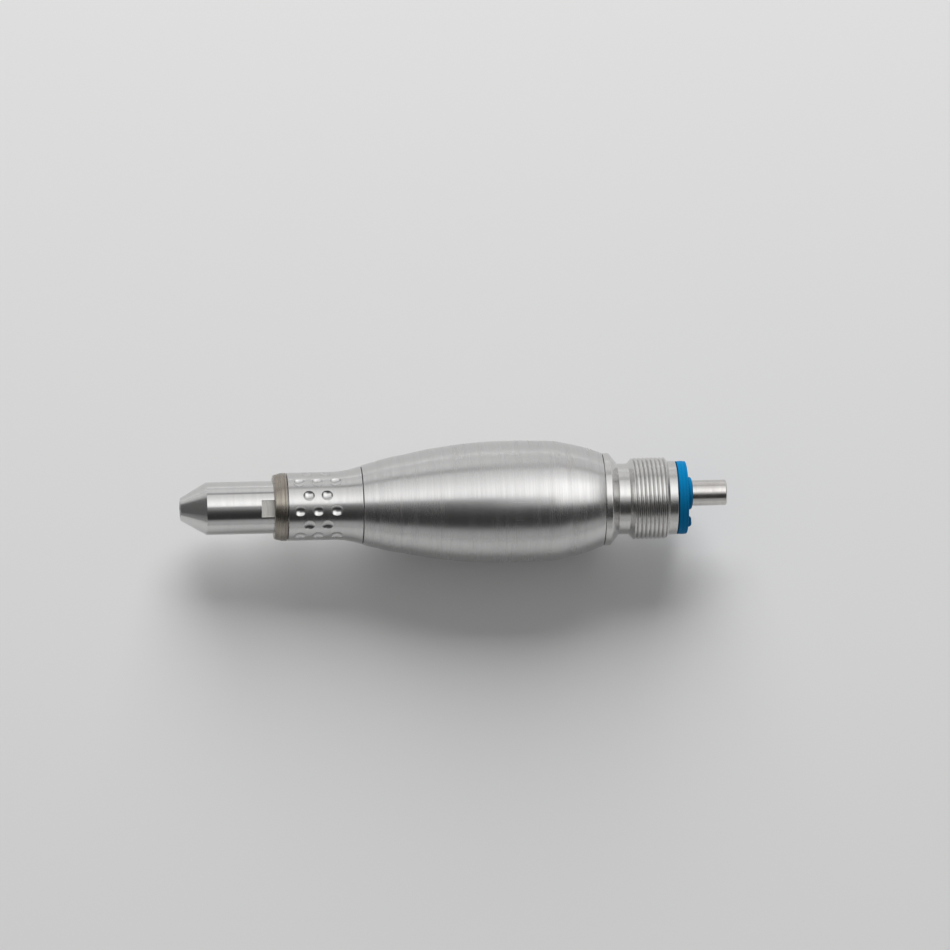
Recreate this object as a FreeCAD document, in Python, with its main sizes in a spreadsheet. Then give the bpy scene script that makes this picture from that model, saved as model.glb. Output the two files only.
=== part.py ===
import FreeCAD, Part
import math
import os

import Sketcher

# Air-driven prophy handpiece. Every piece is turned about the X axis, nose at -X, hose end at +X.
# The origin is the centre of the hose seat, which is the flat rear face of the hose gasket.
# Stations along the axis are counted from the nose tip, and each piece is drawn from its own front face.

os.makedirs("parts", exist_ok=True)
doc = FreeCAD.newDocument("prophy_handpiece")


# Driving dimensions, in millimetres and degrees

DIMENSIONS = [
    # nose, ring and finger grip
    ("tip_radius", 1.85, "flat end of the nose"),
    ("tip_hole_radius", 1.5, "hole that the shank passes through"),
    ("cone_length", 4.3, "tip to the nose's straight part"),
    ("nose_radius", 4.35, "straight part that holds the angle"),
    ("nose_length", 11.0, "straight part in front of the ring"),
    ("tail_wall", 0.55, "nose sleeve's wall inside the ring and the grip"),
    ("bush_room", 3.45, "nose sleeve's rear end to the grip's rear edge"),
    ("key_length", 2.05, "key notch along the axis"),
    ("key_width", 2.8, "key notch across"),
    ("key_depth", 0.45, "key notch below the nose's surface"),
    ("key_turn", 17.0, "turn of the key notch from the exhaust tube's side"),
    ("ring_front_radius", 5.25, "ring's front face"),
    ("ring_bevel", 1.25, "ring's bevel along the axis"),
    ("ring_length", 2.46, "ring along the axis"),
    ("ring_gap", 0.14, "shadow line between ring and grip"),
    ("grip_radius", 5.63, "straight part of the finger grip"),
    ("grip_straight", 7.1, "straight part's length"),
    ("grip_length", 12.05, "whole finger grip"),
    ("grip_flare", 0.86, "flared rear edge above the straight part"),
    ("dimple_rows", 7, "rows of three, with as many rows of two between"),
    ("dimple_first", 1.97, "grip's front edge to the first dimple"),
    ("dimple_pitch", 3.06, "dimple to dimple along the axis"),
    ("dimple_depth", 0.33, "dimple below the surface"),
    ("dimple_ball", 1.56, "radius of the ball that forms a dimple"),
    ("row_turn", 21.5, "turn of the grip's first row from the exhaust tube's side"),
    # barrel
    ("swivel_gap", 0.10, "line between grip and barrel"),
    ("barrel_length", 39.9, "barrel shell"),
    ("barrel_front_radius", 6.55, "front edge"),
    ("barrel_shoulder", 2.5, "front edge to the end of the first bend"),
    ("barrel_shoulder_radius", 7.2, "radius there"),
    ("barrel_shoulder_bend", 25.0, "radius of the first bend's arc"),
    ("barrel_slope", 7.0, "front edge to the end of the straight slope"),
    ("barrel_slope_wall", 1.27, "shell there, outside the bore for gears and motor"),
    ("barrel_crest", 23.9, "front edge to the widest place"),
    ("barrel_crest_radius", 10.08, "widest radius"),
    ("barrel_rear_bend", 9.0, "rear edge to the start of the rear bend"),
    ("barrel_bend_drop", 0.15, "below the crest there"),
    ("barrel_bend_round", 13.2, "radius of the rear bend's arc"),
    ("barrel_rear_cone", 5.7, "rear cone along the axis"),
    ("barrel_cone_drop", 0.68, "rear cone's large end below the crest"),
    ("barrel_rear_wall", 0.8, "shell at the rear edge"),
    ("cartridge_radius", 6.9, "bore that holds gears and motor"),
    ("front_seat_radius", 5.6, "bore that holds the front housing"),
    ("front_seat", 4.5, "front bore's length"),
    ("recess_start", 15.5, "front edge to the recess that lightens the shell"),
    ("recess_rear", 6.4, "rear edge to the recess"),
    ("recess_wall", 1.68, "shell between the recess and the crest"),
    ("recess_ramp", 1.5, "recess's sloped ends"),
    # hose connector, gasket and exhaust tube
    ("collar_gap", 0.10, "line between barrel and collar"),
    ("collar_step", 0.05, "collar below the barrel's rear edge"),
    ("collar_length", 0.6, "collar's straight part"),
    ("collar_cone", 1.6, "collar's cone along the axis"),
    ("collar_small", 6.1, "collar cone's small end"),
    ("neck_radius", 5.85, "relief between collar and thread"),
    ("neck_length", 1.9, "relief"),
    ("thread_radius", 6.75, "thread's major radius"),
    ("thread_length", 6.5, "thread"),
    ("thread_lead_in", 0.45, "chamfer at each end of the thread"),
    ("rim_radius", 6.1, "plain rim behind the thread"),
    ("rim_length", 1.35, "plain rim"),
    ("rim_chamfer", 0.12, "edge of the rim"),
    ("spigot_length", 7.85, "connector inside the barrel"),
    ("gasket_radius", 6.07, "hose gasket"),
    ("gasket_thickness", 1.9, "hose gasket"),
    ("boss_height", 0.7, "seal bosses above the gasket"),
    ("exhaust_boss_radius", 2.7, "boss round the exhaust tube"),
    ("port_boss_radius", 0.9, "boss round a small port"),
    ("exhaust_offset", 2.8, "exhaust tube above the axis"),
    ("exhaust_tube_radius", 2.12, "exhaust tube, outside"),
    ("exhaust_tube_wall", 0.45, "exhaust tube's wall"),
    ("exhaust_tube_step", 0.2, "tube's step where it enters the boss"),
    ("exhaust_tube_free", 5.7, "tube behind its boss"),
    ("exhaust_tube_seat", 6.0, "tube inside the connector"),
    ("drive_offset", 3.1, "drive air port below the axis"),
    ("drive_radius", 1.15, "drive air port"),
    ("port_offset", 4.1, "small ports, left and right of the axis"),
    ("port_radius", 0.6, "small ports"),
    ("port_depth", 4.0, "small ports, blind"),
    ("kidney_inner", 4.0, "air passages, inner radius"),
    ("kidney_outer", 5.3, "air passages, outer radius"),
    ("kidney_angle", 70.0, "air passages, arc"),
    ("passage_depth", 3.3, "air passages in the connector"),
    # vane motor
    ("fit_gap", 0.02, "radial gap of a piece in its seat"),
    ("running_gap", 0.05, "radial gap of a piece that turns"),
    ("gear_room", 1.65, "planet carrier to the motor's front end plate"),
    ("cylinder_wall", 0.93, "motor cylinder at its thinnest"),
    ("motor_offset", 0.55, "cylinder bore's centre from the axis"),
    ("rotor_end_gap", 0.04, "rotor to each end plate"),
    ("rotor_shoulder_radius", 1.95, "shoulder that the bearings sit against"),
    ("plate_thickness", 3.2, "end plates"),
    ("plate_web", 0.55, "end plate's wall in front of the rotor"),
    ("plate_hole_radius", 2.1, "end plate's hole for the shaft"),
    ("vane_count", 5, "vanes"),
    ("vane_thickness", 1.0, "vane"),
    ("vane_height", 2.7, "vane, radially"),
    ("vane_gap", 0.02, "vane to its slot, each side"),
    ("dowel_radius", 0.5, "dowels that line up cylinder and plates"),
    ("dowel_edge", 1.0, "barrel's bore to the dowels' circle"),
    ("dowel_angle", 35.0, "dowels' angle from the Y axis"),
    ("dowel_reach", 2.0, "dowels into each end plate"),
    ("seal_thickness", 0.4, "gasket in front of the connector"),
    # bearings
    ("small_bore", 1.5875, "3.175 x 6.35 x 2.38 bearing, bore radius"),
    ("small_outer", 3.175, "outside radius"),
    ("small_width", 2.38, "width"),
    ("large_bore", 2.5, "5 x 8 x 2.5 bearing, bore radius"),
    ("large_outer", 4.0, "outside radius"),
    ("large_width", 2.5, "width"),
    ("race_share", 0.36, "radial thickness of a race, as a share of the bearing's"),
    ("shield_gap", 0.05, "radial gap of the shield to the inner race"),
    ("shield_thickness", 0.25, "shield"),
    # planetary gears
    ("ring_gear_wall", 1.18, "ring gear outside its teeth"),
    ("sun_teeth", 12, "sun gear"),
    ("planet_teeth", 12, "each planet gear"),
    ("pressure_angle", 25.0, "pressure angle"),
    ("tooth_addendum", 0.8, "tooth above the pitch circle, in modules"),
    ("tooth_dedendum", 1.0, "tooth below the pitch circle, in modules"),
    ("backlash", 0.03, "tooth thinning on the pitch circle"),
    ("gear_width", 4.0, "face width"),
    ("gear_shaft_radius", 0.95, "rotor shaft inside the sun gear"),
    ("planet_bore_radius", 0.84, "planet gear's bore"),
    ("planet_pin_radius", 0.8, "planet pin"),
    ("carrier_rim", 0.45, "carrier discs outside the pins"),
    ("carrier_thickness", 1.3, "carrier discs"),
    ("carrier_gap", 0.15, "gap beside the planet gears and the carrier"),
    ("carrier_hole_radius", 2.2, "rear carrier disc's hole for the shaft"),
    # output spindle and front housing
    ("housing_wall", 0.305, "front housing round its front bearing"),
    ("housing_front", 5.2, "nose tip to the front housing"),
    ("housing_bore_radius", 2.65, "front housing between its bearings"),
    ("housing_neck_radius", 4.6, "front housing under the bush"),
    ("neck_gap", 0.2, "nose sleeve's rear end to that neck"),
    ("nut_length", 0.8, "bearing nut"),
    ("nut_bore_radius", 2.2, "bearing nut's hole"),
    ("spindle_front", 3.6, "nose tip to the spindle"),
    ("spindle_bore_radius", 1.35, "spindle's bore for the shank"),
    ("spindle_radius", 2.4, "spindle between its bearings"),
    ("chuck_bore_radius", 1.18, "chuck, for a 2.35 mm shank"),
    ("chuck_seat_radius", 1.8, "spindle's bore round the chuck"),
    ("chuck_length", 8.0, "chuck"),
    ("chuck_slot_length", 6.0, "slots between the chuck's fingers"),
    ("chuck_slot_width", 0.3, "slots between the chuck's fingers"),
    ("chuck_fingers", 3, "chuck's fingers"),
    ("stop_length", 2.0, "shank stop"),
    ("hub_radius", 3.0, "spindle's shoulder behind the rear bearing"),
    ("circlip_thickness", 0.5, "ring behind the rear bearing"),
    ("circlip_bore_radius", 3.25, "that ring's hole"),
    ("bush_length", 2.4, "swivel bush"),
    ("bush_thickness", 0.6, "swivel bush's wall"),
    ("seal_width", 0.7, "swivel seals"),
    ("seal_height", 0.48, "swivel seals, radially"),
    ("front_seal_place", 10.5, "nose tip to the front swivel seal"),
    ("rear_seal_place", 5.5, "nose sleeve's rear end to the rear swivel seal"),
    ("snap_place", 2.1, "nose sleeve's rear end to the snap ring"),
    ("snap_width", 0.6, "snap ring"),
    ("snap_depth", 0.25, "snap ring's grooves, in each piece"),
    ("washer_thickness", 0.25, "preload washer's sheet"),
    ("washer_rise", 0.2, "preload washer's dish"),
    ("connector_seal_width", 0.8, "seal round the connector"),
    ("connector_seal_depth", 0.6, "that seal's groove"),
    ("connector_seal_place", 5.3, "connector's front face to that groove"),
]


class Size:
    """A size with its value now and the formula that ties it to the sheet."""

    def __init__(self, value, formula):
        self.value = float(value)
        self.formula = formula

    def __add__(self, other):
        other = as_size(other)
        return Size(self.value + other.value, f"({self.formula} + {other.formula})")

    def __sub__(self, other):
        other = as_size(other)
        return Size(self.value - other.value, f"({self.formula} - {other.formula})")

    def __mul__(self, other):
        other = as_size(other)
        return Size(self.value * other.value, f"({self.formula} * {other.formula})")

    def __truediv__(self, other):
        other = as_size(other)
        return Size(self.value / other.value, f"({self.formula} / {other.formula})")

    __radd__ = __add__
    __rmul__ = __mul__

    def root(self):
        """The square root."""
        return Size(math.sqrt(self.value), f"sqrt({self.formula})")


def as_size(number):
    """A plain number as a Size that depends on no cell."""
    if isinstance(number, Size):
        return number
    return Size(number, repr(float(number)))


class Sizes:
    """The sheet's cells, by name."""


def make_sheet():
    """Write the driving dimensions into the sheet and return them by name."""
    sheet = doc.addObject("Spreadsheet::Sheet", "Sizes")
    sizes = Sizes()
    for row, (name, value, note) in enumerate(DIMENSIONS, start=1):
        sheet.set(f"A{row}", note)
        sheet.set(f"B{row}", str(value))
        sheet.setAlias(f"B{row}", name)
        setattr(sizes, name, Size(value, f"Sizes.{name}"))
    doc.recompute()
    return sizes


size = make_sheet()


# Stations along the axis, counted from the nose tip

ring_front = size.cone_length + size.nose_length
grip_front = ring_front + size.ring_length + size.ring_gap
grip_rear = grip_front + size.grip_length
sleeve_rear = grip_rear - size.bush_room
rear_seal_front = sleeve_rear - size.rear_seal_place
snap_front = sleeve_rear - size.snap_place
barrel_front = grip_rear + size.swivel_gap
barrel_rear = barrel_front + size.barrel_length
collar_front = barrel_rear + size.collar_gap
collar_rear = collar_front + size.collar_length + size.collar_cone
thread_front = collar_rear + size.neck_length
thread_rear = thread_front + size.thread_length
rim_rear = thread_rear + size.rim_length
hose_seat = rim_rear + size.gasket_thickness
connector_front = collar_front - size.spigot_length
manifold_front = connector_front - size.seal_thickness
rear_plate_front = manifold_front - size.plate_thickness
ring_gear_front = barrel_front + size.front_seat
rear_bearing_rear = ring_gear_front - size.circlip_thickness - size.fit_gap
rear_bearing_front = rear_bearing_rear - size.large_width
front_bearing_front = size.housing_front + size.nut_length
front_bearing_rear = front_bearing_front + size.small_width
carrier_front = ring_gear_front + 2 * size.carrier_gap
planets_front = carrier_front + size.carrier_thickness + size.carrier_gap
planets_rear = planets_front + size.gear_width
carrier_plate_front = planets_rear + size.carrier_gap
front_plate_front = carrier_plate_front + size.carrier_thickness + size.gear_room
cylinder_front = front_plate_front + size.plate_thickness
motor_length = rear_plate_front - cylinder_front
front_motor_bearing = cylinder_front - size.plate_web - size.small_width
rear_motor_bearing = rear_plate_front + size.plate_web


# Radii of the barrel and the motor

cartridge_outer = size.cartridge_radius - size.fit_gap
barrel_slope_radius = size.cartridge_radius + size.barrel_slope_wall
barrel_rear_radius = size.cartridge_radius + size.barrel_rear_wall
collar_radius = barrel_rear_radius - size.collar_step
motor_bore_radius = cartridge_outer - size.cylinder_wall - size.motor_offset
rotor_radius = motor_bore_radius - size.motor_offset - size.running_gap
dowel_circle = size.cartridge_radius - size.dowel_edge


# Radii of the nose and the tube that it turns on

housing_radius = size.small_outer + size.fit_gap + size.housing_wall
nose_bore = housing_radius + size.running_gap
tail_radius = nose_bore + size.tail_wall


# Gear radii

ring_teeth = size.sun_teeth + 2 * size.planet_teeth
gear_module = (cartridge_outer - size.ring_gear_wall) / (ring_teeth / 2 + size.tooth_dedendum)
sun_pitch = gear_module * size.sun_teeth / 2
planet_pitch = gear_module * size.planet_teeth / 2
ring_pitch = sun_pitch + 2 * planet_pitch
planet_circle = sun_pitch + planet_pitch
carrier_radius = planet_circle + size.planet_pin_radius + size.carrier_rim
PLANETS = 3

# Half pitches that a row of three and a row of two dimples fill
DIMPLE_PLACES = 5

pieces = []


def bind(thing, prop, value):
    """Tie one property of a feature to the sheet."""
    thing.setExpression(prop, as_size(value).formula)


def seat(piece, station):
    """Put a piece's front face at a station, counted from the nose tip."""
    piece.Placement.Base.x = (station - hose_seat).value
    bind(piece, ".Placement.Base.x", station - hose_seat)


def turn_about_axis(piece, angle):
    """Turn a piece about the handpiece's axis."""
    piece.Placement.Rotation = FreeCAD.Rotation(FreeCAD.Vector(1, 0, 0), angle.value)
    bind(piece, ".Placement.Rotation.Angle", angle)


def plane(body, role):
    """One of the body's own origin planes or axes."""
    return [item for item in body.Origin.OriginFeatures if item.Role == role][0]


def new_sketch(body, name, role, height=None):
    """A sketch on one of the body's origin planes, raised by height along its normal."""
    sketch = body.newObject("Sketcher::SketchObject", name)
    sketch.AttachmentSupport = [(plane(body, role), "")]
    sketch.MapMode = "FlatFace"
    if height is not None:
        bind(sketch, ".AttachmentOffset.Base.z", height)
    return sketch


def tie(sketch, constraint, value):
    """Add a measured constraint and tie it to the sheet."""
    index = sketch.addConstraint(constraint)
    bind(sketch, f"Constraints[{index}]", value)


def pin_point(sketch, item, end, x, y):
    """Fix a point of a sketch at x, y from the sketch's origin. A plain zero puts it on the axis."""
    if isinstance(x, Size):
        tie(sketch, Sketcher.Constraint("DistanceX", -1, 1, item, end, x.value), x)
    else:
        sketch.addConstraint(Sketcher.Constraint("PointOnObject", item, end, -2))
    if isinstance(y, Size):
        tie(sketch, Sketcher.Constraint("DistanceY", -1, 1, item, end, y.value), y)
    else:
        sketch.addConstraint(Sketcher.Constraint("PointOnObject", item, end, -1))


class Bend:
    """An arc between two points of an outline, with its radius, bulging away from the axis or not."""

    def __init__(self, radius, outward=True):
        self.radius = radius
        self.outward = outward


def arc_between(start, end, bend):
    """The arc of a bend from start to end, and whether it runs backwards along the outline."""
    chord = end.sub(start)
    middle = (start + end) * 0.5
    normal = FreeCAD.Vector(-chord.y, chord.x, 0).normalize()
    rise = math.sqrt(max(bend.radius.value ** 2 - (chord.Length / 2) ** 2, 0))
    centre_is_left = bend.outward == (chord.x < 0)
    centre = middle + normal * (rise if centre_is_left else -rise)
    angle_start = math.atan2(start.y - centre.y, start.x - centre.x)
    angle_end = math.atan2(end.y - centre.y, end.x - centre.x)
    circle = Part.Circle(centre, FreeCAD.Vector(0, 0, 1), bend.radius.value)
    if centre_is_left:
        return Part.ArcOfCircle(circle, angle_start, angle_end), False
    return Part.ArcOfCircle(circle, angle_end, angle_start), True


def draw_outline(sketch, outline):
    """Draw a closed outline of points, with a Bend between two points that an arc joins."""
    points = [entry for entry in outline if not isinstance(entry, Bend)]
    bends = {}
    for place, entry in enumerate(outline):
        if isinstance(entry, Bend):
            before = sum(1 for other in outline[:place] if not isinstance(other, Bend)) - 1
            bends[before] = entry
    spots = [FreeCAD.Vector(as_size(x).value, as_size(y).value, 0) for x, y in points]
    ends = []
    for number, spot in enumerate(spots):
        following = spots[(number + 1) % len(spots)]
        if number in bends:
            arc, backwards = arc_between(spot, following, bends[number])
            item = sketch.addGeometry(arc)
            ends.append((item, 2, 1) if backwards else (item, 1, 2))
        else:
            item = sketch.addGeometry(Part.LineSegment(spot, following))
            ends.append((item, 1, 2))
    for number, (item, first, last) in enumerate(ends):
        next_item, next_first, _ = ends[(number + 1) % len(ends)]
        sketch.addConstraint(Sketcher.Constraint("Coincident", item, last, next_item, next_first))
    for number, (item, first, last) in enumerate(ends):
        pin_point(sketch, item, first, *points[number])
        if number in bends:
            tie(sketch, Sketcher.Constraint("Radius", item, bends[number].radius.value), bends[number].radius)
    return sketch


def turned(label, station, outline):
    """A turned piece: its outline, drawn from its own front face, revolved about its axis."""
    body = doc.addObject("PartDesign::Body", label)
    body.Label = label
    sketch = draw_outline(new_sketch(body, "Outline", "XY_Plane"), outline)
    turning = body.newObject("PartDesign::Revolution", "Turning")
    turning.Profile = sketch
    turning.ReferenceAxis = (sketch, ["H_Axis"])
    turning.Angle = 360
    seat(body, station)
    pieces.append(body)
    return body


def tube(label, station, length, inner, outer):
    """A plain turned ring or tube."""
    return turned(label, station, [(0, inner), (0, outer), (length, outer), (length, inner)])


def drill(body, name, mouth, depth, holes, forward=True):
    """Round holes from a plane at mouth. They run towards the nose, or towards the hose if not forward."""
    sketch = new_sketch(body, name, "YZ_Plane", mouth)
    for y, z, radius in holes:
        spot = FreeCAD.Vector(as_size(y).value, as_size(z).value, 0)
        item = sketch.addGeometry(Part.Circle(spot, FreeCAD.Vector(0, 0, 1), radius.value))
        pin_point(sketch, item, 3, y, z)
        tie(sketch, Sketcher.Constraint("Radius", item, radius.value), radius)
    pocket = body.newObject("PartDesign::Pocket", name + "Cut")
    pocket.Profile = sketch
    pocket.Length = as_size(depth).value
    bind(pocket, "Length", depth)
    pocket.Reversed = not forward
    return pocket


def spread(body, name, features, count, part_turn=360):
    """Repeat features evenly about the axis."""
    pattern = body.newObject("PartDesign::PolarPattern", name)
    pattern.Originals = features
    pattern.Axis = (plane(body, "X_Axis"), [""])
    pattern.Angle = part_turn
    bind(pattern, "Occurrences", count)
    body.Tip = pattern
    return pattern


def kidney_groove(body, name, front, depth):
    """A pair of arc-shaped air passages, above and below the axis."""
    sketch = new_sketch(body, name, "XZ_Plane")
    inner = size.kidney_inner
    outer = size.kidney_outer
    draw_outline(sketch, [(front, inner), (front, outer), (front + depth, outer), (front + depth, inner)])
    groove = body.newObject("PartDesign::Groove", name + "Cut")
    groove.Profile = sketch
    groove.ReferenceAxis = (sketch, ["H_Axis"])
    groove.Midplane = True
    groove.Angle = size.kidney_angle.value
    bind(groove, "Angle", size.kidney_angle)
    spread(body, name + "Pair", [groove], 2)


# Nose sleeve, ring and finger grip

def nose_sleeve():
    """The nose cone and the tube behind it, which turns on the front housing."""
    hole_length = size.cone_length / 3
    inside = size.housing_front - 2 * size.fit_gap
    length = sleeve_rear
    bore = nose_bore
    snap = snap_front - size.fit_gap
    body = turned("nose_sleeve", as_size(0), [
        (0, size.tip_hole_radius),
        (0, size.tip_radius),
        (size.cone_length, size.nose_radius),
        (ring_front, size.nose_radius),
        (ring_front, tail_radius),
        (length, tail_radius),
        (length, bore),
        (snap + size.snap_width + 2 * size.fit_gap, bore),
        (snap + size.snap_width + 2 * size.fit_gap, bore + size.snap_depth),
        (snap, bore + size.snap_depth),
        (snap, bore),
        (inside, bore),
        (hole_length, size.tip_hole_radius),
    ])
    sketch = new_sketch(body, "KeyNotch", "YZ_Plane", ring_front)
    half = size.key_width / 2
    floor = size.nose_radius - size.key_depth
    top = size.nose_radius + size.key_depth
    left = as_size(0) - half
    draw_outline(sketch, [(left, floor), (half, floor), (half, top), (left, top)])
    notch = body.newObject("PartDesign::Pocket", "KeyNotchCut")
    notch.Profile = sketch
    bind(notch, "Length", size.key_length)
    turn_about_axis(body, size.key_turn)
    return body


def grip_ring():
    """The bevelled ring in front of the finger grip."""
    bore = tail_radius + size.fit_gap
    return turned("grip_ring", ring_front, [
        (0, bore),
        (0, size.ring_front_radius),
        (size.ring_bevel, size.grip_radius),
        (size.ring_length, size.grip_radius),
        (size.ring_length, bore),
    ])


def finger_grip():
    """The dimpled sleeve that the fingers turn, straight and then flared towards the barrel."""
    bore = tail_radius + size.fit_gap
    bush_bore = size.housing_neck_radius + size.fit_gap + size.bush_thickness + size.running_gap
    tail = size.grip_length - size.bush_room
    run = size.grip_length - size.grip_straight
    rise = size.grip_flare
    body = turned("finger_grip", grip_front, [
        (0, bore),
        (0, size.grip_radius),
        (size.grip_straight, size.grip_radius),
        Bend((run * run + rise * rise) / (2 * rise), outward=False),
        (size.grip_length, size.grip_radius + rise),
        (size.grip_length, bush_bore),
        (tail, bush_bore),
        (tail, bore),
    ])
    balls = []
    half_pitch = math.pi / size.dimple_rows.value
    for step in range(DIMPLE_PLACES):
        turn = half_pitch * (step % 2)
        height = size.grip_radius + size.dimple_ball - size.dimple_depth
        ball = body.newObject("PartDesign::SubtractiveSphere", f"Dimple{step}")
        bind(ball, "Radius", size.dimple_ball)
        bind(ball, ".Placement.Base.x", size.dimple_first + size.dimple_pitch * (step / 2))
        bind(ball, ".Placement.Base.y", height * math.sin(turn))
        bind(ball, ".Placement.Base.z", height * math.cos(turn))
        balls.append(ball)
    spread(body, "DimpleRows", balls, size.dimple_rows)
    turn_about_axis(body, size.row_turn)
    return body


def snap_ring():
    """The wire ring that holds the nose sleeve on the front housing, in a groove of each."""
    inner = housing_radius - size.snap_depth + size.running_gap
    outer = nose_bore + size.snap_depth - size.fit_gap
    return tube("snap_ring", snap_front, size.snap_width, inner, outer)


# Barrel shell and front housing

def barrel_shell():
    """The bulged outer shell, bored for the gears and the motor and recessed inside the bulge."""
    crest_run = size.barrel_crest - size.barrel_slope
    crest_rise = size.barrel_crest_radius - barrel_slope_radius
    rear_run = size.barrel_length - size.barrel_rear_bend - size.barrel_crest
    rear_rise = size.barrel_bend_drop
    recess_end = size.barrel_length - size.recess_rear
    recess_radius = size.barrel_crest_radius - size.recess_wall
    cone_start = size.barrel_length - size.barrel_rear_cone
    return turned("barrel_shell", barrel_front, [
        (0, size.front_seat_radius),
        (0, size.barrel_front_radius),
        Bend(size.barrel_shoulder_bend),
        (size.barrel_shoulder, size.barrel_shoulder_radius),
        (size.barrel_slope, barrel_slope_radius),
        Bend((crest_run * crest_run + crest_rise * crest_rise) / (2 * crest_rise)),
        (size.barrel_crest, size.barrel_crest_radius),
        Bend((rear_run * rear_run + rear_rise * rear_rise) / (2 * rear_rise)),
        (size.barrel_length - size.barrel_rear_bend, size.barrel_crest_radius - rear_rise),
        Bend(size.barrel_bend_round),
        (cone_start, size.barrel_crest_radius - size.barrel_cone_drop),
        (size.barrel_length, barrel_rear_radius),
        (size.barrel_length, size.cartridge_radius),
        (recess_end, size.cartridge_radius),
        (recess_end - size.recess_ramp, recess_radius),
        (size.recess_start + size.recess_ramp, recess_radius),
        (size.recess_start, size.cartridge_radius),
        (size.front_seat, size.cartridge_radius),
        (size.front_seat, size.front_seat_radius),
    ])


def front_housing():
    """The tube screwed into the barrel, which carries the spindle's bearings and the turning nose."""
    start = size.housing_front
    outer = housing_radius
    groove = outer - size.snap_depth
    seal_floor = nose_bore - size.seal_height - 2 * size.fit_gap
    seal_slot = size.seal_width + 2 * size.fit_gap
    neck_start = sleeve_rear + size.neck_gap
    flange_start = barrel_front + size.fit_gap
    return turned("front_housing", start, [
        (0, size.small_outer + size.fit_gap),
        (0, outer),
        (size.front_seal_place - start, outer),
        (size.front_seal_place - start, seal_floor),
        (size.front_seal_place + seal_slot - start, seal_floor),
        (size.front_seal_place + seal_slot - start, outer),
        (rear_seal_front - start, outer),
        (rear_seal_front - start, seal_floor),
        (rear_seal_front + seal_slot - start, seal_floor),
        (rear_seal_front + seal_slot - start, outer),
        (snap_front - size.fit_gap - start, outer),
        (snap_front - size.fit_gap - start, groove),
        (snap_front + size.snap_width + size.fit_gap - start, groove),
        (snap_front + size.snap_width + size.fit_gap - start, outer),
        (neck_start - start, outer),
        (neck_start - start, size.housing_neck_radius),
        (flange_start - start, size.housing_neck_radius),
        (flange_start - start, size.front_seat_radius - size.fit_gap),
        (ring_gear_front - start, size.front_seat_radius - size.fit_gap),
        (ring_gear_front - start, size.large_outer + size.fit_gap),
        (rear_bearing_front - start, size.large_outer + size.fit_gap),
        (rear_bearing_front - start, size.hub_radius + size.running_gap),
        (rear_bearing_front - size.plate_web - start, size.housing_bore_radius),
        (front_bearing_rear - start, size.housing_bore_radius),
        (front_bearing_rear - start, size.small_outer + size.fit_gap),
    ])


def swivel_bush():
    """The plain bush on the front housing's neck, inside the grip's rear end."""
    inner = size.housing_neck_radius + size.fit_gap
    place = barrel_front - size.bush_length - size.swivel_gap
    return tube("swivel_bush", place, size.bush_length, inner, inner + size.bush_thickness)


def swivel_seal(label, station):
    """A seal in the front housing's groove, under the nose sleeve."""
    inner = nose_bore - size.seal_height - size.fit_gap
    outer = nose_bore - size.fit_gap
    return tube(label, station + size.fit_gap, size.seal_width, inner, outer)


def bearing_nut():
    """The ring nut that closes the front bearing's seat."""
    return tube("bearing_nut", size.housing_front, size.nut_length - size.fit_gap, size.nut_bore_radius,
                size.small_outer)


def bearing_circlip():
    """The ring behind the spindle's rear bearing."""
    front = rear_bearing_rear + size.fit_gap
    return tube("bearing_circlip", front, size.circlip_thickness, size.circlip_bore_radius,
                size.large_outer)


# Bearings, each a race pair with the shields on the outer race

def bearing(name, station, bore, outer, width):
    """The two races of one shielded bearing."""
    race = (outer - bore) * size.race_share
    inner_top = bore + size.fit_gap + race
    shield_edge = inner_top + size.shield_gap
    shield = size.shield_thickness
    tube(name + "_inner_race", station, width, bore + size.fit_gap, inner_top)
    turned(name + "_outer_race", station, [
        (0, shield_edge),
        (0, outer),
        (width, outer),
        (width, shield_edge),
        (width - shield, shield_edge),
        (width - shield, outer - race),
        (shield, outer - race),
        (shield, shield_edge),
    ])


# Output spindle, chuck and planet carrier

def output_spindle():
    """The hollow spindle, with the front carrier disc turned on its rear end."""
    start = size.spindle_front
    seat_start = front_bearing_rear + size.fit_gap
    chuck_start = seat_start + size.plate_web
    rear = carrier_front + size.carrier_thickness
    body = turned("output_spindle", start, [
        (0, size.spindle_bore_radius),
        (0, size.small_bore),
        (seat_start - start, size.small_bore),
        (seat_start - start, size.spindle_radius),
        (rear_bearing_front - start, size.spindle_radius),
        (rear_bearing_front - start, size.large_bore),
        (rear_bearing_rear + size.fit_gap - start, size.large_bore),
        (rear_bearing_rear + size.fit_gap - start, size.hub_radius),
        (carrier_front - start, size.hub_radius),
        (carrier_front - start, carrier_radius),
        (rear - start, carrier_radius),
        (rear - start, size.chuck_seat_radius),
        (chuck_start - start, size.chuck_seat_radius),
        (chuck_start - start, size.spindle_bore_radius),
    ])
    hole = drill(body, "PinHole", rear - start, size.carrier_thickness,
                 [(0, planet_circle, size.planet_pin_radius + size.fit_gap)])
    spread(body, "PinHoles", [hole], PLANETS)
    return body


def shank_chuck():
    """The split spring chuck that grips the angle's shank."""
    front = front_bearing_rear + size.plate_web + 2 * size.fit_gap
    outer = size.chuck_seat_radius - size.fit_gap
    body = tube("shank_chuck", front, size.chuck_length, size.chuck_bore_radius, outer)
    sketch = new_sketch(body, "Slot", "XY_Plane")
    half = size.chuck_slot_width / 2
    draw_outline(sketch, [(0, 0), (size.chuck_slot_length, 0), (size.chuck_slot_length, outer + half),
                          (0, outer + half)])
    slot = body.newObject("PartDesign::Pocket", "SlotCut")
    slot.Profile = sketch
    slot.Midplane = True
    bind(slot, "Length", size.chuck_slot_width)
    spread(body, "Slots", [slot], size.chuck_fingers)
    return body


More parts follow.
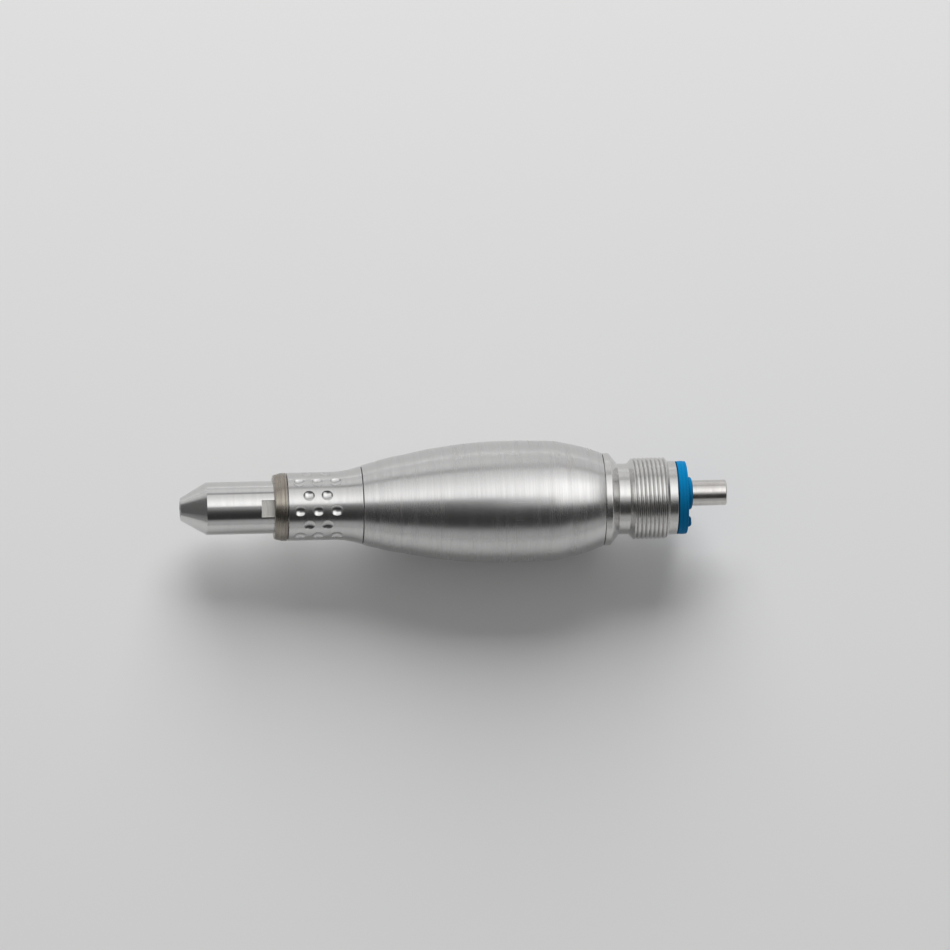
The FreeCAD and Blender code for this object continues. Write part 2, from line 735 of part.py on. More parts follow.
def shank_stop():
    """The plug that the shank's end meets, behind the chuck."""
    front = front_bearing_rear + size.plate_web + 3 * size.fit_gap + size.chuck_length
    outer = size.chuck_seat_radius - size.fit_gap
    return turned("shank_stop", front, [(0, 0), (0, outer), (size.stop_length, outer), (size.stop_length, 0)])


def carrier_plate():
    """The rear carrier disc, behind the planet gears."""
    body = tube("carrier_plate", carrier_plate_front, size.carrier_thickness, size.carrier_hole_radius,
                carrier_radius)
    hole = drill(body, "PinHole", size.carrier_thickness, size.carrier_thickness,
                 [(0, planet_circle, size.planet_pin_radius + size.fit_gap)])
    spread(body, "PinHoles", [hole], PLANETS)
    return body


def planet_pins():
    """The three pins that the planet gears turn on, held by both carrier discs."""
    length = carrier_plate_front + size.carrier_thickness - carrier_front
    body = doc.addObject("PartDesign::Body", "planet_pins")
    body.Label = "planet_pins"
    body.AllowCompound = True
    sketch = new_sketch(body, "PinSection", "YZ_Plane")
    item = sketch.addGeometry(Part.Circle(FreeCAD.Vector(0, planet_circle.value, 0), FreeCAD.Vector(0, 0, 1),
                                          size.planet_pin_radius.value))
    pin_point(sketch, item, 3, 0, planet_circle)
    tie(sketch, Sketcher.Constraint("Radius", item, size.planet_pin_radius.value), size.planet_pin_radius)
    pad = body.newObject("PartDesign::Pad", "Pin")
    pad.Profile = sketch
    bind(pad, "Length", length)
    spread(body, "Pins", [pad], PLANETS)
    seat(body, carrier_front)
    pieces.append(body)
    return body


# Gears, with involute flanks

def involute(angle):
    """The involute function."""
    return math.tan(angle) - angle


def flank_turn(teeth, radius):
    """How far a tooth's flank lies from the tooth's middle line at a radius, without backlash."""
    pressure = math.radians(size.pressure_angle.value)
    base = gear_module.value * teeth / 2 * math.cos(pressure)
    local = math.acos(min(base / radius, 1.0))
    return math.pi / (2 * teeth) + involute(pressure) - involute(local)


def polar(radius, angle):
    """A point at a radius and an angle."""
    return FreeCAD.Vector(radius * math.cos(angle), radius * math.sin(angle), 0)


def toothed_wire(teeth, inner, outer, thinning, middle):
    """A closed toothed outline, with one tooth centred on the angle called middle.

    inner and outer are the radii between the teeth and on their tips, and thinning narrows each tooth."""
    pitch = gear_module.value * teeth / 2
    base = pitch * math.cos(math.radians(size.pressure_angle.value))
    start = max(inner, base)
    edges = []
    step = 2 * math.pi / teeth
    for tooth in range(teeth):
        centre = middle + tooth * step
        sides = {}
        for side in (-1, 1):
            spots = []
            for share in (0.0, 0.5, 1.0):
                radius = start + (outer - start) * share
                turn = flank_turn(teeth, radius) - thinning / 2 / pitch
                spots.append(polar(radius, centre + side * turn))
            sides[side] = spots
        foot_turn = flank_turn(teeth, start) - thinning / 2 / pitch
        if inner < start:
            edges.append(Part.LineSegment(polar(inner, centre - foot_turn), sides[-1][0]).toShape())
        edges.append(Part.Arc(sides[-1][0], sides[-1][1], sides[-1][2]).toShape())
        edges.append(Part.Arc(sides[-1][2], polar(outer, centre), sides[1][2]).toShape())
        edges.append(Part.Arc(sides[1][2], sides[1][1], sides[1][0]).toShape())
        if inner < start:
            edges.append(Part.LineSegment(sides[1][0], polar(inner, centre + foot_turn)).toShape())
        next_foot = centre + step - foot_turn
        edges.append(Part.Arc(polar(inner, centre + foot_turn), polar(inner, centre + step / 2),
                              polar(inner, next_foot)).toShape())
    return Part.Wire(edges)


def gear_piece(label, station, shape, y=0.0, z=0.0):
    """A gear drawn in its own plane, stood across the axis at a station."""
    gear = doc.addObject("Part::Feature", label)
    gear.Label = label
    gear.Shape = shape
    spot = FreeCAD.Vector((station - hose_seat).value, y, z)
    gear.Placement = FreeCAD.Placement(spot, FreeCAD.Rotation(FreeCAD.Vector(1, 1, 1), 120))
    pieces.append(gear)
    return gear


def outer_gear_shape(teeth, bore, tooth_angle):
    """A gear with outward teeth and a round bore."""
    pitch = gear_module.value * teeth / 2
    tip = pitch + gear_module.value * size.tooth_addendum.value
    foot = pitch - gear_module.value * size.tooth_dedendum.value
    wire = toothed_wire(teeth, foot, tip, size.backlash.value, tooth_angle)
    width = FreeCAD.Vector(0, 0, size.gear_width.value)
    solid = Part.Face(wire).extrude(width)
    return solid.cut(Part.makeCylinder(bore.value, size.gear_width.value))


def gears():
    """The sun gear, three planet gears and the ring gear, in mesh."""
    up = math.pi / 2
    sun_teeth = int(size.sun_teeth.value)
    planet_teeth = int(size.planet_teeth.value)
    sun_shape = outer_gear_shape(sun_teeth, size.gear_shaft_radius + size.fit_gap, up + math.pi / sun_teeth)
    gear_piece("sun_gear", planets_front, sun_shape)
    for number in range(PLANETS):
        angle = up + number * 2 * math.pi / PLANETS
        shape = outer_gear_shape(planet_teeth, size.planet_bore_radius, angle)
        spot = polar(planet_circle.value, angle)
        gear_piece(f"planet_gear_{number + 1}", planets_front, shape, spot.x, spot.y)
    tip = ring_pitch.value - gear_module.value * size.tooth_addendum.value
    foot = ring_pitch.value + gear_module.value * size.tooth_dedendum.value
    space = toothed_wire(int(ring_teeth.value), tip, foot, -size.backlash.value, up)
    length = (front_plate_front - ring_gear_front - size.fit_gap).value
    blank = Part.makeCylinder(cartridge_outer.value, length)
    cutter = Part.Face(space).extrude(FreeCAD.Vector(0, 0, length))
    gear_piece("ring_gear", ring_gear_front, blank.cut(cutter))


# Vane motor

def end_plate(label, station, seat_forward):
    """A motor end plate: a bearing seat, a web with the shaft's hole, air passages and dowel holes."""
    outer = cartridge_outer
    seat_radius = size.small_outer + size.fit_gap
    length = size.plate_thickness
    web = size.plate_web
    if seat_forward:
        outline = [
            (0, seat_radius),
            (0, outer),
            (length, outer),
            (length, size.plate_hole_radius),
            (length - web, size.plate_hole_radius),
            (length - web, seat_radius),
        ]
    else:
        outline = [
            (0, size.plate_hole_radius),
            (0, outer),
            (length, outer),
            (length, seat_radius),
            (web, seat_radius),
            (web, size.plate_hole_radius),
        ]
    body = turned(label, station, outline)
    depth = size.dowel_reach + size.running_gap
    mouth = length if seat_forward else 0
    drill(body, "Dowels", mouth, depth, dowel_holes(size.dowel_radius + size.fit_gap), forward=seat_forward)
    if not seat_forward:
        kidney_groove(body, "Passages", as_size(0), length)
    return body


def dowel_holes(radius):
    """The two dowels' circles, for one radius."""
    turn = math.radians(size.dowel_angle.value)
    y = dowel_circle * math.cos(turn)
    z = dowel_circle * math.sin(turn)
    return [(y, z, radius), (y, as_size(0) - z, radius)]


def motor_cylinder():
    """The cylinder, whose bore lies off the axis."""
    outer = cartridge_outer
    body = doc.addObject("PartDesign::Body", "motor_cylinder")
    body.Label = "motor_cylinder"
    sketch = new_sketch(body, "Section", "YZ_Plane")
    rim = sketch.addGeometry(Part.Circle(FreeCAD.Vector(0, 0, 0), FreeCAD.Vector(0, 0, 1), outer.value))
    sketch.addConstraint(Sketcher.Constraint("Coincident", rim, 3, -1, 1))
    tie(sketch, Sketcher.Constraint("Radius", rim, outer.value), outer)
    offset = as_size(0) - size.motor_offset
    bore = sketch.addGeometry(Part.Circle(FreeCAD.Vector(offset.value, 0, 0), FreeCAD.Vector(0, 0, 1),
                                          motor_bore_radius.value))
    pin_point(sketch, bore, 3, offset, 0)
    tie(sketch, Sketcher.Constraint("Radius", bore, motor_bore_radius.value), motor_bore_radius)
    pad = body.newObject("PartDesign::Pad", "Extrusion")
    pad.Profile = sketch
    bind(pad, "Length", motor_length)
    drill(body, "Dowels", motor_length, motor_length, dowel_holes(size.dowel_radius + size.fit_gap))
    seat(body, cylinder_front)
    pieces.append(body)
    return body


def motor_rotor():
    """The slotted rotor and its shaft, with the sun gear's seat at the front."""
    start = planets_front - size.carrier_gap
    core = cylinder_front + size.rotor_end_gap
    core_end = rear_plate_front - size.rotor_end_gap
    front_race = front_motor_bearing
    rear_race = rear_motor_bearing + size.small_width
    body = turned("motor_rotor", start, [
        (0, 0),
        (0, size.gear_shaft_radius),
        (planets_rear - start, size.gear_shaft_radius),
        (planets_rear - start, size.small_bore),
        (front_race + size.small_width - start, size.small_bore),
        (front_race + size.small_width - start, size.rotor_shoulder_radius),
        (core - start, size.rotor_shoulder_radius),
        (core - start, rotor_radius),
        (core_end - start, rotor_radius),
        (core_end - start, size.rotor_shoulder_radius),
        (rear_motor_bearing - start, size.rotor_shoulder_radius),
        (rear_motor_bearing - start, size.small_bore),
        (rear_race - start, size.small_bore),
        (rear_race - start, 0),
    ])
    sketch = new_sketch(body, "Slot", "XZ_Plane")
    floor = rotor_radius - size.vane_height - size.running_gap
    top = rotor_radius + size.running_gap
    draw_outline(sketch, [(core - start, floor), (core_end - start, floor), (core_end - start, top),
                          (core - start, top)])
    slot = body.newObject("PartDesign::Pocket", "SlotCut")
    slot.Profile = sketch
    slot.Midplane = True
    bind(slot, "Length", size.vane_thickness + 2 * size.vane_gap)
    spread(body, "Slots", [slot], size.vane_count)
    return body


def rotor_vanes():
    """The vanes, drawn in their slots."""
    core = cylinder_front + size.rotor_end_gap
    length = motor_length - 2 * size.rotor_end_gap
    body = doc.addObject("PartDesign::Body", "rotor_vanes")
    body.Label = "rotor_vanes"
    body.AllowCompound = True
    sketch = new_sketch(body, "Vane", "XZ_Plane")
    floor = rotor_radius - size.vane_height
    draw_outline(sketch, [(0, floor), (length, floor), (length, rotor_radius), (0, rotor_radius)])
    pad = body.newObject("PartDesign::Pad", "Sheet")
    pad.Profile = sketch
    pad.Midplane = True
    bind(pad, "Length", size.vane_thickness)
    spread(body, "Vanes", [pad], size.vane_count)
    seat(body, core)
    pieces.append(body)
    return body


def cylinder_dowels():
    """The two long dowels through the cylinder and into both end plates."""
    length = motor_length + 2 * size.dowel_reach
    body = doc.addObject("PartDesign::Body", "cylinder_dowels")
    body.Label = "cylinder_dowels"
    body.AllowCompound = True
    sketch = new_sketch(body, "Section", "YZ_Plane")
    for y, z, radius in dowel_holes(size.dowel_radius):
        item = sketch.addGeometry(Part.Circle(FreeCAD.Vector(y.value, z.value, 0), FreeCAD.Vector(0, 0, 1),
                                              radius.value))
        pin_point(sketch, item, 3, y, z)
        tie(sketch, Sketcher.Constraint("Radius", item, radius.value), radius)
    pad = body.newObject("PartDesign::Pad", "Dowels")
    pad.Profile = sketch
    bind(pad, "Length", length)
    seat(body, cylinder_front - size.dowel_reach)
    pieces.append(body)
    return body


def preload_washer():
    """The dished washer that presses on the rear motor bearing's outer race."""
    front = rear_motor_bearing + size.small_width + size.fit_gap
    inner = size.plate_hole_radius
    outer = size.small_outer - size.running_gap
    thick = size.washer_thickness
    rise = size.washer_rise
    return turned("preload_washer", front, [
        (rise, inner),
        (0, outer),
        (thick, outer),
        (thick + rise, inner),
    ])


# Hose end

def manifold_seal():
    """The flat seal between the rear end plate and the connector."""
    body = tube("manifold_seal", manifold_front, size.seal_thickness, size.small_outer + size.fit_gap,
                size.cartridge_radius - size.running_gap)
    kidney_groove(body, "Passages", as_size(0), size.seal_thickness)
    return body


def hose_connector():
    """The threaded connector, with its collar, its spigot in the barrel and four air ports."""
    spigot = cartridge_outer
    groove = size.connector_seal_place
    groove_end = groove + size.connector_seal_width
    floor = spigot - size.connector_seal_depth
    start = connector_front
    collar = collar_front - start
    cone = collar + size.collar_length
    lead = size.thread_lead_in
    length = rim_rear - start
    body = turned("hose_connector", start, [
        (0, 0),
        (0, spigot),
        (groove, spigot),
        (groove, floor),
        (groove_end, floor),
        (groove_end, spigot),
        (collar, spigot),
        (collar, collar_radius),
        (cone, collar_radius),
        (cone + size.collar_cone, size.collar_small),
        (cone + size.collar_cone, size.neck_radius),
        (thread_front - start, size.neck_radius),
        (thread_front + lead - start, size.thread_radius),
        (thread_rear - lead - start, size.thread_radius),
        (thread_rear - start, size.rim_radius),
        (length - size.rim_chamfer, size.rim_radius),
        (length, size.rim_radius - size.rim_chamfer),
        (length, 0),
    ])
    kidney_groove(body, "Passages", as_size(0), size.passage_depth)
    low = as_size(0) - size.drive_offset
    drill(body, "AirBores", length, length - size.passage_depth / 2, [
        (0, size.exhaust_offset, size.exhaust_tube_radius - size.exhaust_tube_wall),
        (0, low, size.drive_radius),
    ])
    drill(body, "TubeSeat", length, size.exhaust_tube_seat, [
        (0, size.exhaust_offset, size.exhaust_tube_radius - size.exhaust_tube_step + size.fit_gap),
    ])
    drill(body, "SmallPorts", length, size.port_depth, small_ports(size.port_radius))
    return body


def small_ports(radius):
    """The two small ports' circles, for one radius."""
    return [(size.port_offset, 0, radius), (as_size(0) - size.port_offset, 0, radius)]


def connector_seal():
    """The seal ring in the connector's groove, against the barrel's bore."""
    front = connector_front + size.connector_seal_place + size.fit_gap
    spigot = cartridge_outer
    inner = spigot - size.connector_seal_depth + size.fit_gap
    return tube("connector_seal", front, size.connector_seal_width - 2 * size.fit_gap, inner,
                size.cartridge_radius - size.fit_gap / 2)


def hose_gasket():
    """The soft gasket that the hose presses on, with a raised boss round the tube and a small port."""
    thick = size.gasket_thickness
    body = turned("hose_gasket", rim_rear, [
        (0, 0),
        (0, size.gasket_radius),
        (thick, size.gasket_radius),
        (thick, 0),
    ])
    sketch = new_sketch(body, "Bosses", "YZ_Plane", thick)
    bosses = [
        (0, size.exhaust_offset, size.exhaust_boss_radius),
        (as_size(0) - size.port_offset, 0, size.port_boss_radius),
    ]
    for y, z, radius in bosses:
        spot = FreeCAD.Vector(as_size(y).value, as_size(z).value, 0)
        item = sketch.addGeometry(Part.Circle(spot, FreeCAD.Vector(0, 0, 1), radius.value))
        pin_point(sketch, item, 3, y, z)
        tie(sketch, Sketcher.Constraint("Radius", item, radius.value), radius)
    pad = body.newObject("PartDesign::Pad", "BossPads")
    pad.Profile = sketch
    bind(pad, "Length", size.boss_height)
    whole = thick + size.boss_height
    low = as_size(0) - size.drive_offset
    drill(body, "Ports", whole, whole, [
        (0, size.exhaust_offset, size.exhaust_tube_radius - size.exhaust_tube_step + size.fit_gap),
        (0, low, size.drive_radius),
    ] + small_ports(size.port_radius))
    return body


def exhaust_tube():
    """The steel tube that carries the exhaust air into the hose."""
    shoulder = size.exhaust_tube_seat + size.gasket_thickness + size.boss_height + size.fit_gap
    length = shoulder + size.exhaust_tube_free
    outer = size.exhaust_tube_radius
    bevel = size.exhaust_tube_wall / 2
    inner = outer - size.exhaust_tube_wall
    body = turned("exhaust_tube", rim_rear - size.exhaust_tube_seat, [
        (0, inner),
        (0, outer - size.exhaust_tube_step),
        (shoulder, outer - size.exhaust_tube_step),
        (shoulder, outer),
        (length - bevel, outer),
        (length, outer - bevel),
        (length, inner),
    ])
    body.Placement.Base.z = size.exhaust_offset.value
    bind(body, ".Placement.Base.z", size.exhaust_offset)
    return body


def build():
    """Make every piece, from the nose to the hose end."""
    nose_sleeve()
    grip_ring()
    finger_grip()
    snap_ring()
    barrel_shell()
    front_housing()
    swivel_bush()
    swivel_seal("front_swivel_seal", size.front_seal_place)
    swivel_seal("rear_swivel_seal", rear_seal_front)
    bearing_nut()
    bearing_circlip()
    bearing("spindle_front_bearing", front_bearing_front, size.small_bore, size.small_outer, size.small_width)
    bearing("spindle_rear_bearing", rear_bearing_front, size.large_bore, size.large_outer, size.large_width)
    bearing("motor_front_bearing", front_motor_bearing, size.small_bore, size.small_outer, size.small_width)
    bearing("motor_rear_bearing", rear_motor_bearing, size.small_bore, size.small_outer, size.small_width)
    output_spindle()
    shank_chuck()
    shank_stop()
    carrier_plate()
    planet_pins()
    gears()
    end_plate("front_end_plate", front_plate_front, seat_forward=True)
    end_plate("rear_end_plate", rear_plate_front, seat_forward=False)
    motor_cylinder()
    motor_rotor()
    rotor_vanes()
    cylinder_dowels()
    preload_washer()
    manifold_seal()
    hose_connector()
    connector_seal()
    hose_gasket()
    exhaust_tube()


def check():
    """Stop if any feature failed, or if a piece has no sound shape."""
    for item in doc.Objects:
        if "Invalid" in item.State or "Error" in item.State:
            raise RuntimeError(f"{item.Label} ({item.Name}) is in state {item.State}")
    for piece in pieces:
        if piece.Shape.isNull() or not piece.Shape.isValid():
            raise RuntimeError(f"{piece.Label} has no valid shape")


def export():
    """Write each piece to its own file."""
    for piece in pieces:
        piece.Shape.exportStep(f"parts/{piece.Label}.step")
        volume = piece.Shape.Volume
        print(f"{piece.Label}: {len(piece.Shape.Solids)} solid(s), {volume:.2f} mm3")


build()
doc.recompute()
check()
export()
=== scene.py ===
"""The looks of an air-driven prophy handpiece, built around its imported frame.

The axis runs along X, with the nose at -X and the hose end at +X. Sizes are in millimetres until a mesh is
made, apart from the studio's, which say so.
"""

import logging
import math
from dataclasses import dataclass
from enum import Enum, StrEnum
from typing import Optional, Union

import bpy
import numpy as np
from mathutils import Matrix, Vector
from mathutils.geometry import delaunay_2d_cdt


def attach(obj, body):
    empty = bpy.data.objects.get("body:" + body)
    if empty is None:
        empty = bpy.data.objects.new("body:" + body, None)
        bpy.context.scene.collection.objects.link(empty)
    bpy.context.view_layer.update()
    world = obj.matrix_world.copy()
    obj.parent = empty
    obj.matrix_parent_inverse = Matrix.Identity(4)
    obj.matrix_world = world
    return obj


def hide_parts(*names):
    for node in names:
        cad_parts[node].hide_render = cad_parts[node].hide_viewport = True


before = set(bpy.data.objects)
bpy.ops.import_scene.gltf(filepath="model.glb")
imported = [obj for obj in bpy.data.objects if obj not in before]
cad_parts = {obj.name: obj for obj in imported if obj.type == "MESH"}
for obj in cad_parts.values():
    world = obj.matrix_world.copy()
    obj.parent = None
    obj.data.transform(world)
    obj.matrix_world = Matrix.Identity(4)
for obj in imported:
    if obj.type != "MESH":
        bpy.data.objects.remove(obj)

LOG = logging.getLogger("prophy_handpiece")
MM = 0.001
FULL_TURN = 2 * math.pi
ROUNDING_STEP = 12
ROUND_COLUMNS = 192
SMALL_COLUMNS = 96
SMALL_RADIUS = 2.0
Pair = tuple[float, float]
Hole = tuple[float, float, float]
Colour = tuple[float, float, float]
Paint = tuple[float, float, float, float]


# Named options

class Body(StrEnum):
    """The bodies that the scene's own pieces ride on."""

    NOSE = "nose"
    BARREL = "barrel"


class Slot(StrEnum):
    """The record's material slots."""

    NOSE_STEEL = "nose_steel"
    RING_BRONZE = "ring_bronze"
    GRIP_STEEL = "grip_steel"
    BARREL_STEEL = "barrel_steel"
    CONNECTOR_STEEL = "connector_steel"
    TUBE_STEEL = "tube_steel"
    STEEL_INNER = "steel_inner"
    GASKET_BLUE = "gasket_blue"
    SEAL_BLACK = "seal_black"
    BUSH_POLYMER = "bush_polymer"
    VANE_PHENOLIC = "vane_phenolic"


class Facing(Enum):
    """Which end a flat face looks towards."""

    NOSE = -1
    HOSE = 1


class Bulge(Enum):
    """Which way an arc of an outline bulges."""

    OUTWARD = 1
    INWARD = -1


# Outlines of turned pieces

@dataclass(frozen=True)
class Corner:
    """A corner of an outline: its place, the radius that rounds it, and the step of the straight run on."""

    x: float
    r: float
    rounding: float = 0.0
    step: float = 0.0


@dataclass(frozen=True)
class Arc:
    """An arc from the corner before it to the corner after it, drawn in steps of some degrees."""

    radius: float
    bulge: Bulge
    step: float = 0.8


@dataclass(frozen=True)
class Ring:
    """One ring of a turned mesh, with the outward normal in front of it and behind it, as (axial, radial)."""

    x: float
    r: float
    before: Pair
    after: Pair


OutlineEntry = Union[Corner, Arc]


class Run:
    """The straight or curved run of an outline between two corners."""

    def __init__(self, start: Corner, end: Corner, arc: Optional[Arc]) -> None:
        """Work out the run's length and, for an arc, its centre.

        Args:
            start: The corner that the run starts at.
            end: The corner that it ends at.
            arc: The arc that joins them, or None for a straight run.
        """
        self.start = np.array([start.x, start.r])
        self.end = np.array([end.x, end.r])
        self.arc = arc
        chord = self.end - self.start
        span = float(np.hypot(*chord))
        if arc is None:
            self.length = span
            self.step = start.step or span
            return
        side = np.array([-chord[1], chord[0]]) / span
        if side[1] < 0:
            side = -side
        side *= arc.bulge.value
        self.centre = (self.start + self.end) / 2 - side * math.sqrt(arc.radius ** 2 - span ** 2 / 4)
        first = self.start - self.centre
        last = self.end - self.centre
        self.first_angle = math.atan2(first[1], first[0])
        sweep = math.atan2(last[1], last[0]) - self.first_angle
        self.sweep = (sweep + math.pi) % FULL_TURN - math.pi
        self.length = abs(self.sweep) * arc.radius
        self.step = math.radians(arc.step) * arc.radius

    def at(self, distance: float) -> tuple[np.ndarray, np.ndarray]:
        """The point and the direction of travel at a distance along the run.

        Args:
            distance: The distance from the run's start.

        Returns:
            The point and the unit direction, each as (axial, radial).
        """
        if self.arc is None:
            direction = (self.end - self.start) / self.length
            return self.start + direction * distance, direction
        angle = self.first_angle + self.sweep * distance / self.length
        spoke = np.array([math.cos(angle), math.sin(angle)])
        turn = math.copysign(1, self.sweep)
        return self.centre + spoke * self.arc.radius, np.array([-spoke[1], spoke[0]]) * turn


def left_of(direction: np.ndarray) -> np.ndarray:
    """The direction turned left, which is outward for an outline that runs back along its outside."""
    return np.array([-direction[1], direction[0]])


def rounded_corner(spot: np.ndarray, arriving: np.ndarray, leaving: np.ndarray, radius: float) -> list[Ring]:
    """The rings of a rounded corner.

    Args:
        spot: The corner itself.
        arriving: The direction in which the outline arrives at it.
        leaving: The direction in which the outline leaves it.
        radius: The rounding's radius.

    Returns:
        The rings between the two runs, whose ends the rounding trims.
    """
    cross = arriving[0] * leaving[1] - arriving[1] * leaving[0]
    sweep = math.atan2(cross, float(arriving @ leaving))
    start = spot - arriving * radius * math.tan(abs(sweep) / 2)
    turn = math.copysign(1, sweep)
    centre = start + left_of(arriving) * radius * turn
    heading = math.atan2(arriving[1], arriving[0])
    steps = max(3, math.ceil(abs(math.degrees(sweep)) / ROUNDING_STEP))
    rings = []
    for step in range(steps + 1):
        angle = heading + sweep * step / steps
        outward = left_of(np.array([math.cos(angle), math.sin(angle)]))
        place = centre - outward * radius * turn
        rings.append(Ring(place[0], place[1], tuple(outward), tuple(outward)))
    return rings


def trace(outline: list[OutlineEntry], closed: bool = True) -> list[Ring]:
    """Turn an outline into rings.

    Args:
        outline: Corners, with an Arc between two of them that an arc joins.
        closed: Whether the last corner runs back to the first.

    Returns:
        The rings in order, with the outward normal on both sides of each.
    """
    corners = [entry for entry in outline if isinstance(entry, Corner)]
    arcs: dict[int, Arc] = {}
    for place, entry in enumerate(outline):
        if isinstance(entry, Arc):
            arcs[sum(isinstance(other, Corner) for other in outline[:place]) - 1] = entry
    count = len(corners) if closed else len(corners) - 1
    runs = [Run(corners[k], corners[(k + 1) % len(corners)], arcs.get(k)) for k in range(count)]
    rings: list[Ring] = []
    trims: dict[int, float] = {}
    for place, corner in enumerate(corners):
        if corner.rounding and (closed or 0 < place < len(corners) - 1):
            arriving = runs[place - 1].at(runs[place - 1].length)[1]
            leaving = runs[place].at(0)[1]
            cosine = min(1.0, max(-1.0, float(arriving @ leaving)))
            trims[place] = corner.rounding * math.tan(math.acos(cosine) / 2)
    for place, run in enumerate(runs):
        corner = corners[place]
        arriving = runs[place - 1].at(runs[place - 1].length)[1] if closed or place else None
        leaving = run.at(0)[1]
        if place in trims:
            rings.extend(rounded_corner(run.start, arriving, leaving, corner.rounding))
        else:
            after = tuple(left_of(leaving))
            before = tuple(left_of(arriving)) if arriving is not None else after
            rings.append(Ring(corner.x, corner.r, before, after))
        begin = trims.get(place, 0.0)
        finish = run.length - trims.get((place + 1) % len(corners), 0.0)
        steps = max(1, math.ceil((finish - begin) / run.step - 1e-6))
        for step in range(1, steps):
            point, direction = run.at(begin + (finish - begin) * step / steps)
            normal = tuple(left_of(direction))
            rings.append(Ring(point[0], point[1], normal, normal))
    if not closed:
        point, direction = runs[-1].at(runs[-1].length)
        normal = tuple(left_of(direction))
        rings.append(Ring(corners[-1].x, corners[-1].r, normal, normal))
    return rings


@dataclass
class Sweep:
    """A turned grid of shape (rings, columns, 3): points, and the normals before and after each ring."""

    points: np.ndarray
    before: np.ndarray
    after: np.ndarray

    @classmethod
    def of(cls, rings: list[Ring], angles: np.ndarray, centre: Pair = (0.0, 0.0),
           lead: float = 0.0) -> "Sweep":
        """Sweep rings about an axis along X.

        Args:
            rings: The rings of an outline.
            angles: The columns' angles, from +Z towards +Y.
            centre: The axis's place, as (y, z).
            lead: How far a full turn moves the outline along the axis.

        Returns:
            The grid.
        """
        sine, cosine = np.sin(angles), np.cos(angles)
        grid = np.ones((len(rings), len(angles)))

        def spread(axial: list[float], radial: list[float]) -> np.ndarray:
            """Points or normals for every ring and column, from axial and radial parts of each ring."""
            out = np.array(radial)[:, None]
            return np.stack([np.array(axial)[:, None] * grid, out * sine, out * cosine], axis=-1)

        points = spread([ring.x for ring in rings], [ring.r for ring in rings])
        points[..., 0] += lead * angles / FULL_TURN
        points[..., 1] += centre[0]
        points[..., 2] += centre[1]
        before = spread([ring.before[0] for ring in rings], [ring.before[1] for ring in rings])
        after = spread([ring.after[0] for ring in rings], [ring.after[1] for ring in rings])
        return cls(points, before, after)


def even_turn(count: int) -> np.ndarray:
    """The angles of evenly spaced columns round a full turn."""
    return np.arange(count) * FULL_TURN / count


def columns_round(radius: float) -> int:
    """How many columns go round a turned form: fewer where it is small."""
    return ROUND_COLUMNS if radius > SMALL_RADIUS else SMALL_COLUMNS


def add_object(name: str, data: bpy.types.ID) -> bpy.types.Object:
    """Add an object to the scene.

    Args:
        name: Its name.
        data: Its mesh, lamp or camera.

    Returns:
        The object.
    """
    made = bpy.data.objects.new(name, data)
    bpy.context.scene.collection.objects.link(made)
    return made


